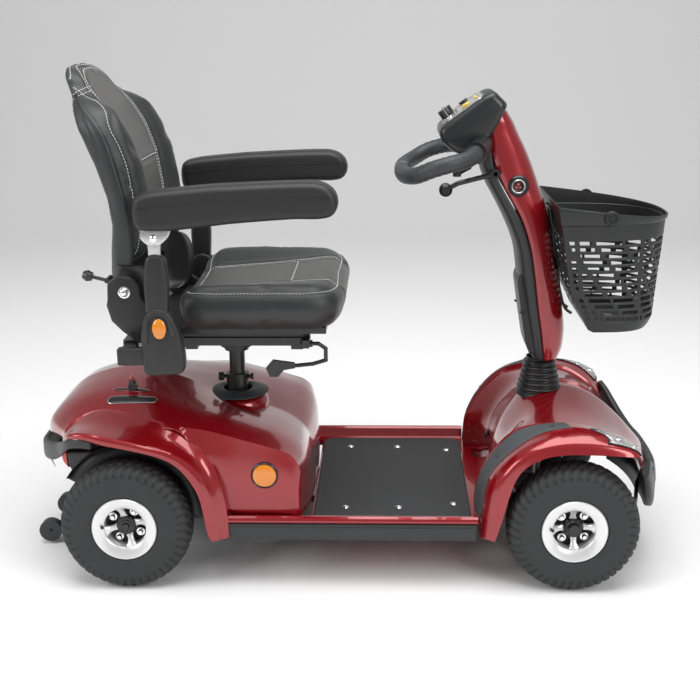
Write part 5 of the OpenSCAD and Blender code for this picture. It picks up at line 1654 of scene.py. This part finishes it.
def gap_to(points: np.ndarray, line: np.ndarray) -> np.ndarray:
    """Distance from each plan point (n, 2) to a polyline (m, 2)."""
    a, b = line[:-1], line[1:]
    d = b - a
    t = np.einsum("nmk,mk->nm", points[:, None] - a, d) / (np.sum(d * d, 1) + 1e-9)
    near = a + np.clip(t, 0, 1)[..., None] * d
    return np.linalg.norm(points[:, None] - near, axis=-1).min(1)


def inside(points: np.ndarray, loop: np.ndarray) -> np.ndarray:
    """Whether each plan point lies in a closed loop, by counting crossings."""
    x, y = points[:, :1], points[:, 1:]
    a, b = loop, np.roll(loop, -1, 0)
    cross = (a[:, 1] > y) != (b[:, 1] > y)
    at = (b[:, 0] - a[:, 0]) * (y - a[:, 1]) / (b[:, 1] - a[:, 1] + 1e-12) + a[:, 0]
    return ((cross & (x < at)).sum(1) % 2).astype(bool)


def sewn(obj: bpy.types.Object, plan: np.ndarray, where: np.ndarray, seams: list,
         panel: np.ndarray | None) -> None:
    """Pulls the mesh in along seams and stores how far inside the centre panel each point lies.

    Each seam is (line, depth, width): points within reach move in by depth exp(-(d / width)^2).

    Args:
        obj: the mesh object, not yet subdivided.
        plan: plan coordinates of its vertices (n, 2), in the seams' plane.
        where: which vertices face the sewn side.
        seams: the seams.
        panel: closed loop of the centre panel, or None.
    """
    co, no = arrays(obj)
    for line, depth, width in seams:
        d = gap_to(plan, line)
        swell = 0.35 * np.exp(-((d - width * 2.6) / width)**2)
        pull = depth * (np.exp(-(d / width)**2) - swell)
        co -= no * (pull * where)[:, None]
    obj.data.vertices.foreach_set("co", metres(co).astype(np.float32).ravel())
    if panel is not None:
        d = gap_to(plan, np.concatenate([panel, panel[:1]]))
        signed = np.where(inside(plan, panel) & where, d, -d)
        layer = obj.data.attributes.new("panel", "FLOAT", "POINT")
        layer.data.foreach_set("value", (signed / 1000).astype(np.float32))
    obj.data.update()
    mod = obj.modifiers.new("smooth", "SUBSURF")
    mod.levels = mod.render_levels = 1


def stitches(shape: Shape, surface: Surface, line: np.ndarray, direction: tuple,
             pitch: float = 6.6, length: float = 4.7, radius: float = 0.8) -> None:
    """Lays short thread dashes along a line dropped onto a surface.

    Args:
        shape: the shape that gathers the dashes.
        surface: what they lie on.
        line: points (n, 3) off the surface.
        direction: the rays' direction.
        pitch: distance between dash starts.
        length: length of a dash.
        radius: half thickness of the thread.
    """
    dense = surface.drop(flow(line, 260), direction)
    step = np.linalg.norm(np.diff(dense, axis=0), axis=1)
    s = np.concatenate([[0], np.cumsum(step)])
    for start in np.arange(1.0, s[-1] - length, pitch):
        at = start + np.linspace(0, length, 4)
        p = np.column_stack([np.interp(at, s, dense[:, k]) for k in range(3)])
        if not surface.holds(p):
            continue
        lift = -np.array(direction) / np.linalg.norm(direction) * 0.35
        shape.grid(swept(p + lift, radius * np.array([0.5, 1, 1, 0.5]), 6), close_v=True, caps=True)


@dataclass
class Seat:
    """The armchair: cushion, backrest, shell, hinge covers and armrests."""

    heights: list = field(default_factory=lambda: [640, 690, 761, 826, 874, 895, 920, 946, 962,
                                                   982, 998, 1006])
    face: list = field(default_factory=lambda: [40, 38, 31, 20, 2, -10, -26, -46, -58, -70, -82,
                                                -92])
    rear: list = field(default_factory=lambda: [-8, -5, -9, -30, -50, -60, -71, -84, -94, -104,
                                                -110, -108])
    side: list = field(default_factory=lambda: [12, 22, 28, 12, -4, -14, -32, -62, -80, -92, -99,
                                                -102])
    panel_line: list = field(default_factory=lambda: [
        (97, 636), (96, 700), (97, 780), (100, 850), (104, 905), (104, 935), (100, 958),
        (88, 979), (64, 992), (34, 998), (0.5, 999)])
    outer_line: list = field(default_factory=lambda: [
        (181, 636), (186, 668), (191, 720), (193, 780), (192, 840), (185, 893), (163, 922),
        (136, 941), (119, 957), (110, 978), (90, 994), (56, 1001), (0.5, 1003)])

    def make(self) -> None:
        """Builds the seat's pieces."""
        self.cushion()
        self.backrest()
        self.shell()
        self.hinges()
        for side, word in zip(SIDES, ("right", "left")):
            self.armrest(side, word)

    def cushion(self) -> None:
        """The dished cushion with its grey panel, two seams along it and one across."""
        plan = np.array([(0, 110), (120, 110), (196, 113), (222, 124), (232, 150), (235, 200),
                         (235, 300), (234, 350), (226, 390), (205, 415), (170, 428), (110, 434),
                         (50, 436), (0, 436.5)], float)
        plan = np.concatenate([plan[:-1], plan[:0:-1] * [-1, 1]])

        def top(q: np.ndarray) -> np.ndarray:
            """Height of the top: a long dish between two bolsters, rising to the front."""
            mid = np.interp(q[:, 1], [110, 200, 330, 390, 430], [562, 570, 580, 586, 584])
            crest = np.interp(q[:, 1], [110, 150, 380, 430], [588, 594, 594, 588])
            return mid + (crest - mid) * ease(np.abs(q[:, 0]), 84, 205)

        pillow = Pillow("seat_cushion_sewn", plan, (230, 300), top, lambda q: 0 * q[:, 0] + 513.0,
                        lambda q: 0 * q[:, 0] + 560.0, (34, 44),
                        lambda g: g[:, [1, 0, 2]], cap=5.0)
        obj = pillow.stuffed("seat", VINYL_TWO)
        co, no = arrays(obj)
        where = (no[:, 2] > -0.1) & (co[:, 2] > 545)
        loop = both([(98, 80), (98, 200), (100, 300), (112, 380), (120, 450)])
        rim = flow(plan, 120, True)
        middle = np.array([0, 270])
        share = 24 / np.linalg.norm(rim - middle, axis=1, keepdims=True)
        outer = rim * (1 - share) + middle * share
        outer = outer[outer[:, 1] > 116]
        outer = outer[np.argsort(np.arctan2(outer[:, 0], outer[:, 1] - 270))]
        across = np.array([(-100.0, 318), (100, 318)])
        left = np.array([(98.0, 80), (98, 200), (100, 300), (112, 380), (120, 450)])
        seams = [(left, 3.2, 5.0), (left * [-1, 1], 3.2, 5.0), (across, 2.0, 4.0),
                 (outer, 2.6, 5.0)]
        sewn(obj, co[:, [1, 0]], where, seams, loop)
        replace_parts(obj, "seat_cushion")
        face = Surface(obj)
        thread = Shape("seat_cushion_stitches")
        for off in (-4.2, 4.2):
            for side in SIDES:
                line = np.array([((98 + off) * side, 128, 640), ((98 + off) * side, 210, 640),
                                 ((101 + off) * side, 300, 640), ((112 + off) * side, 380, 640),
                                 ((117 + off) * side, 418, 640)])[:, [1, 0, 2]]
                stitches(thread, face, line, (0, 0, -1))
        stitches(thread, face, np.array([(322, -96, 640), (322, 0, 640), (322, 96, 640)], float),
                 (0, 0, -1))
        ring = np.column_stack([outer[:, 1], outer[:, 0] * 1.012, np.full(len(outer), 640)])
        stitches(thread, face, ring, (0, 0, -1))
        thread.build("seat", THREAD)

    def backrest(self) -> None:
        """The padded back with its headrest, centre panel and stitched seams."""
        h = self.heights
        plan = np.array([(0, 640), (100, 640), (176, 641), (193, 650), (205, 690), (210, 740),
                         (211, 800), (210, 855), (203, 897), (185, 924), (158, 943), (134, 954),
                         (121, 967), (112, 984), (92, 998), (56, 1004.5), (0, 1006)], float)
        plan = np.concatenate([plan[:-1], plan[:0:-1] * [-1, 1]])

        def front(q: np.ndarray) -> np.ndarray:
            """X of the front: the profile's line, with a bolster down each side."""
            z = q[:, 1]
            bolster = 27 * np.exp(-((np.abs(q[:, 0]) - 156) / 36)**2)
            return np.interp(z, h, self.face) + bolster * ease(z, 640, 700) * (
                1 - ease(z, 925, 962))

        pillow = Pillow("backrest_sewn", plan, (720, 900), front,
                        lambda q: np.interp(q[:, 1], h, self.rear),
                        lambda q: np.interp(q[:, 1], h, self.side), (26, 12),
                        lambda g: g[:, [2, 0, 1]], cap=4.0)
        obj = pillow.stuffed("backrest", VINYL_TWO)
        co, no = arrays(obj)
        where = (no[:, 0] > -0.35)
        half_panel, half_outer = np.array(self.panel_line, float), np.array(self.outer_line, float)
        loop = np.concatenate([half_panel, half_panel[::-1] * [-1, 1]])
        lines = [flow(half_panel, 60), flow(half_outer, 60)]
        seams = [(line * [s, 1], depth, 4.6) for line, depth in zip(lines, (3.0, 2.2))
                 for s in SIDES]
        seams.append((np.array([(-100.0, 814), (100, 814)]), 1.8, 4.0))
        sewn(obj, co[:, [1, 2]], where, seams, loop)
        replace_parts(obj, "backrest_pad")
        face = Surface(obj)
        thread = Shape("backrest_stitches")
        rays = (-1.0, 0, -0.25)
        for side in SIDES:
            for half, offs in ((half_panel, (-4.0, 4.0)), (half_outer, (3.6,))):
                for off in offs:
                    p = flow(half, 50)
                    run = np.gradient(p, axis=0)
                    out = np.column_stack([run[:, 1], -run[:, 0]])
                    out /= np.linalg.norm(out, axis=1, keepdims=True)
                    q = p + out * off
                    line = np.column_stack([np.full(50, 60.0), q[:, 0] * side,
                                            q[:, 1] + 0.25 * (60 - np.interp(q[:, 1], h,
                                                                             self.face))])
                    stitches(thread, face, line, rays)
            for z in (948.0, 958.0):
                line = np.array([(-52.0, side * 150, z + 8), (-66, side * 150, z + 2),
                                 (-82, side * 150, z - 8)])
                stitches(thread, face, line, (0, -side, 0))
        y = np.linspace(-96, 96, 9)
        stitches(thread, face, np.column_stack([0 * y + 90, y, 0 * y + 818]), (-1, 0, 0))
        thread.build("backrest", THREAD)

    def shell_grid(self, z: list, front: list, rear: list, half: list, rows: int) -> np.ndarray:
        """A C-shaped skin: at each height a rounded half ring from one front edge to the other."""
        t = flow(np.column_stack([z, front, rear, half]), rows)
        a = np.linspace(0, pi, 73)
        s = np.abs(np.sin(a))**0.62
        c = np.sign(np.cos(a)) * np.abs(np.cos(a))**0.42
        x = t[:, 1:2] + (t[:, 2:3] - t[:, 1:2]) * s
        return np.stack([x, t[:, 3:4] * c, t[:, :1] + 0 * x], -1)

    def shell(self) -> None:
        """The padded rear skin of the backrest and the moulded cover under it."""
        skin = self.shell_grid([634, 660, 700, 745, 785, 830, 862, 896, 922, 942, 951],
                               [28, 32, 33, 29, 20, 9, 0, -16, -38, -60, -74],
                               [-28, -25, -19, -17, -24, -37, -46, -60, -68, -75, -77],
                               [194, 203, 211, 214, 215, 214.5, 213, 205, 186, 160, 140], 90)
        obj = Shape("backrest_shell_skin").grid(skin).build("backrest", SHELL, wall=4.0, sharp=70)
        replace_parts(obj, "backrest_shell")
        cover = self.shell_grid([508, 514, 524, 545, 580, 612, 626, 633],
                                [46, 60, 70, 77, 80, 74, 64, 48],
                                [8, -4, -14, -26, -34, -34, -32, -28],
                                [160, 172, 180, 185, 188, 191, 193, 193], 50)
        Shape("backrest_lower_cover").grid(cover).build("backrest", HINGE, wall=3.0, sharp=60)
        seam = cover[-1] + [0, 0, 0.8]
        Shape("backrest_cover_bead").grid(swept(flow(seam, 150), 1.6, 10), close_v=True,
                                          caps=True).build("backrest", HINGE)

    def hinges(self) -> None:
        """Moulded covers over the backrest's hinges, with chrome bolts."""
        line = rounded(np.array([(-22, 562), (-14, 532), (6, 511), (36, 501), (98, 501),
                                 (101, 512), (62, 541), (43, 575), (40, 600), (24, 617),
                                 (-2, 619), (-20, 606)]), 8)
        cover, bolt = Shape("hinge_covers"), Shape("hinge_bolts")
        for side in SIDES:
            y = sorted((side * 197, side * 210.4))
            cover.slab(line, y[0], y[1], 4.0)
            dome = np.array([(0.01, 217.5), (4, 217), (7.4, 215), (9, 211.5), (11.5, 211),
                             (11.5, 209), (0.01, 209)]) * [1, side]
            bolt.grid(turned(dome, (12, 0, 587), "y", 32), close_v=True)
        cover.build("seat", HINGE, sharp=50)
        bolt.build("seat", CHROME)

    def armrest(self, side: float, word: str) -> None:
        """One armrest: foam pad, steel cheeks, bolt, upright with its reflector.

        Args:
            side: 1 for the rider's left and -1 for the right.
            word: the side's name.
        """
        def slab(shape: Shape, line: np.ndarray, y0: float, y1: float, edge: float,
                 finish: int = 0) -> None:
            """Adds a slab between two distances from the middle."""
            y = sorted((side * y0, side * y1))
            shape.slab(line, y[0], y[1], edge, finish)

        outline = rounded(np.array([(66, 716), (110, 715.5), (163, 721), (230, 729), (300, 734.5),
                                    (347, 737.5), (392, 737), (416, 742), (426, 762), (421, 784),
                                    (406, 798), (384, 805), (200, 799), (90, 789), (56, 781),
                                    (51, 760), (53, 728)]), 11, 5)
        pad = Shape(f"{word}_arm_pad_foam")
        slab(pad, flow(outline, 150, True), 224, 292, 15)
        obj = pad.build(f"{word}_armrest", ARM, sharp=80)
        mod = obj.modifiers.new("smooth", "SUBSURF")
        mod.levels = mod.render_levels = 2
        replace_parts(obj, f"{word}_arm_pad")
        groove = Shape(f"{word}_arm_pad_crease")
        x = np.linspace(64, 408, 40)
        for y in (224.0, 292.0):
            line = np.column_stack([x, np.full(40, side * (y + (0.15 if y < 250 else -0.15))),
                                    np.interp(x, [50, 200, 420], [757, 772, 779])])
            groove.grid(swept(line, 0.9, 8), close_v=True, caps=True)
        groove.build(f"{word}_armrest", GLOSS)
        plates = Shape(f"{word}_arm_plates")
        cheek = rounded(np.array([(74, 690), (98, 690), (112, 702), (118, 718), (64, 718),
                                  (62, 702)]), 5)
        tongue = Shape(f"{word}_arm_tongue")
        slab(tongue, rounded(np.array([(75, 664), (97, 664), (98, 700), (93, 712), (79, 712),
                                       (74, 700)]), 6), 261, 269, 1.0)
        tongue.build(f"{word}_arm_slide", STEEL, sharp=40)
        for y0 in (257.0, 269.5):
            slab(plates, cheek, y0, y0 + 3.5, 0.8)
        plates.build(f"{word}_armrest", STEEL, sharp=40)
        bolt = Shape(f"{word}_arm_bolt")
        dome = np.array([(0.01, 278.5), (3, 278), (5.5, 276), (6, 273.4), (8.5, 273.2),
                         (8.5, 272), (0.01, 272)]) * [1, side]
        bolt.grid(turned(dome, (86, 0, 703), "y", 24), close_v=True)
        bolt.build(f"{word}_armrest", CHROME)
        column = rounded(np.array([(65, 560), (107, 560), (110, 620), (106, 664), (98, 671),
                                   (76, 671), (69, 664), (64, 620)]), 7)
        bulb = rounded(np.array([(54, 449), (66, 440), (122, 443), (134, 452), (135, 480),
                                 (128, 522), (116, 556), (99, 572), (76, 572), (61, 556),
                                 (54, 520)]), 12, 7)
        upright = Shape(f"{word}_arm_upright_cover")
        slab(upright, column, 254, 277.5, 6.5)
        slab(upright, bulb, 251.5, 281, 8.5)
        lip = rounded(np.array([(60, 505), (64, 556), (78, 568), (97, 568), (112, 554),
                                (122, 520), (110, 518), (104, 550), (94, 558), (80, 558),
                                (70, 548), (68, 505)]), 5)
        slab(upright, lip, 276, 283.5, 2.5)
        arm_bar = np.array([(6, 466), (28, 466), (28, 486), (6, 486)], float)
        slab(upright, rounded(arm_bar, 2), 134, 268, 1.0)
        slab(upright, rounded(np.array([(5, 459), (66, 459), (66, 493), (5, 493)], float), 5),
             254, 272, 3.0)
        obj = upright.build(f"{word}_arm_slide", HINGE, sharp=55)
        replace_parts(obj, f"{word}_arm_upright")
        lens = Shape(f"{word}_arm_reflector")
        lens.ball((90, side * 281.5, 534), (13.5, 6, 20), 0, 36)
        a = np.linspace(0, 2 * pi, 48, endpoint=False)
        ring = np.column_stack([90 + 14.5 * np.cos(a), np.full(48, side * 282.0),
                                534 + 21 * np.sin(a)])
        lens.grid(swept(ring, 1.8, 10, closed=True), close_u=True, close_v=True, finish=1)
        lens.build(f"{word}_arm_slide", AMBER, GLOSS)


# ---- mechanics that keep their CAD form ------------------------------------------------------

def mechanics() -> None:
    """Finishes for the CAD nodes that are shown as they are."""
    dress(POWDER, "chassis_frame", "seat_frame", "swivel_frame", "seat_post_tube",
          "seat_post_inner", "tiller_mast", "recline_lever", "seat_lever")
    dress(CAST_GREY, "transaxle")
    dress(DRUM, "drive_motor", "left_knuckle", "right_knuckle", "controller")
    dress(CASE, "batteries")
    dress(SHAFT, "steering_shaft", "track_rod")
    dress(GLOSS, "tilt_lever", "throttle_lever", "speed_knob", "lamp_button")
    dress(CHROME, "ignition_key")
    dress(YELLOW, "horn_button")
    dress(GRIP, "anti_tip_rollers")
    dress(GLOSS, "freewheel_lever")
    low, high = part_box("freewheel_lever")
    centre = ((low.x + high.x) / 2 * 1000 - AXLE_X * 1000, (low.y + high.y) / 2 * 1000,
              high.z * 1000)
    knob = Shape("freewheel_knob")
    shaft = np.array([(0.01, 6), (6.2, 5), (6.6, -2), (5.4, -18), (5.0, -26), (0.01, -26)])
    cap = np.array([(0.01, 12.5), (3.5, 12), (5.6, 9.5), (6.0, 5.2), (0.01, 5.2)])
    knob.grid(turned(shaft, centre, "z", 24), close_v=True, finish=0)
    knob.grid(turned(cap, centre, "z", 24), close_v=True, finish=1)
    knob.build("freewheel_lever", GLOSS, RED)


# ---- studio ---------------------------------------------------------------------------------

def area(name: str, place: tuple, aim: tuple, size: tuple, power: float,
         tint: tuple = (1, 1, 1)) -> None:
    """A soft rectangular lamp that looks at a point.

    Args:
        name: the lamp's name.
        place: where it stands, in metres.
        aim: the point it faces.
        size: its width and height.
        power: its power in watts.
        tint: its colour.
    """
    lamp = bpy.data.lights.new(name, "AREA")
    lamp.shape, lamp.size, lamp.size_y = "RECTANGLE", *size
    lamp.energy, lamp.color = power, tint
    obj = bpy.data.objects.new(name, lamp)
    obj.location = place
    obj.rotation_euler = (Vector(aim) - Vector(place)).to_track_quat("-Z", "Y").to_euler()
    bpy.context.scene.collection.objects.link(obj)


def studio() -> None:
    """A plain pale sweep, a broad overhead lamp, soft sides and the camera."""
    a = np.linspace(0, pi / 2, 20)
    y = np.concatenate([[-9, -4, 0, 3.0], 3.5 + 2.0 * np.sin(a), [5.5, 5.5]])
    z = np.concatenate([[0, 0, 0, 0.0], 2.0 * (1 - np.cos(a)), [4.0, 9.0]])
    x = np.linspace(-10, 10, 9)
    g = np.stack([x[:, None] + 0 * y, y + 0 * x[:, None], z + 0 * x[:, None]], -1)
    i = np.arange(g.shape[0] * g.shape[1]).reshape(g.shape[:2])
    quads = np.stack([i[:-1, :-1], i[1:, :-1], i[1:, 1:], i[:-1, 1:]], -1).reshape(-1, 4)
    mesh = bpy.data.meshes.new("studio_sweep")
    mesh.from_pydata(g.reshape(-1, 3).tolist(), [], quads.tolist())
    mesh.shade_smooth()
    sweep = bpy.data.objects.new("studio_sweep", mesh)
    bpy.context.scene.collection.objects.link(sweep)
    mat = bpy.data.materials.new("studio_paper")
    mat.use_nodes = True
    shader = mat.node_tree.nodes["Principled BSDF"]
    shader.inputs["Base Color"].default_value = (0.9, 0.9, 0.9, 1)
    shader.inputs["Roughness"].default_value = 0.9
    mesh.materials.append(mat)
    sweep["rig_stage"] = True
    world = bpy.context.scene.world or bpy.data.worlds.new("world")
    bpy.context.scene.world = world
    world.use_nodes = True
    back = world.node_tree.nodes["Background"]
    back.inputs[0].default_value = (1, 1, 1, 1)
    seen = world.node_tree.nodes.new("ShaderNodeLightPath").outputs["Is Camera Ray"]
    power = world.node_tree.nodes.new("ShaderNodeMapRange")
    power.inputs["To Min"].default_value, power.inputs["To Max"].default_value = 0.36, 1.0
    world.node_tree.links.new(seen, power.inputs["Value"])
    world.node_tree.links.new(power.outputs["Result"], back.inputs[1])
    area("overhead", (0.2, -0.4, 3.4), (0.0, 0.0, 0.4), (3.2, 2.6), 110)
    area("front_soft", (2.6, -2.6, 2.2), (0.2, 0, 0.5), (1.6, 1.8), 55)
    area("rear_soft", (-2.8, -1.6, 1.9), (-0.2, 0, 0.5), (1.6, 1.8), 45)
    cam = bpy.data.cameras.new("camera")
    cam.sensor_width, cam.lens = 36.0, 59.1
    obj = bpy.data.objects.new("camera", cam)
    obj.location = (0.0905, -2.328, 1.084)
    yaw, pitch, roll = radians(-1.93), radians(16.07), radians(-0.47)
    ahead = np.array([sin(yaw) * cos(pitch), cos(yaw) * cos(pitch), -sin(pitch)])
    right = np.array([cos(yaw), -sin(yaw), 0.0])
    up = np.cross(right, ahead)
    r2, u2 = cos(roll) * right + sin(roll) * up, -sin(roll) * right + cos(roll) * up
    obj.rotation_euler = Matrix(np.column_stack([r2, u2, -ahead]).tolist()).to_euler()
    bpy.context.scene.collection.objects.link(obj)
    bpy.context.scene.camera = obj
    bpy.context.scene.view_settings.view_transform = "Standard"


def main() -> None:
    """Builds every piece and the studio, then takes the bounds of what is shown."""
    low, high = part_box("front_left_tyre")
    wheelbase = ((low.x + high.x) / 2 - AXLE_X) * 1000
    for name, x, side, driven in (("front_left", wheelbase, 1.0, False),
                                  ("front_right", wheelbase, -1.0, False),
                                  ("rear_left", 0.0, 1.0, True), ("rear_right", 0.0, -1.0, True)):
        Wheel(name, x, side, driven).make()
    RearCowl().make()
    FrontCowl().make()
    Floor().make()
    Tiller().make()
    Basket().make()
    Seat().make()
    mechanics()
    studio()
    bpy.context.view_layer.update()
    low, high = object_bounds()


if __name__ == "__main__":
    main()
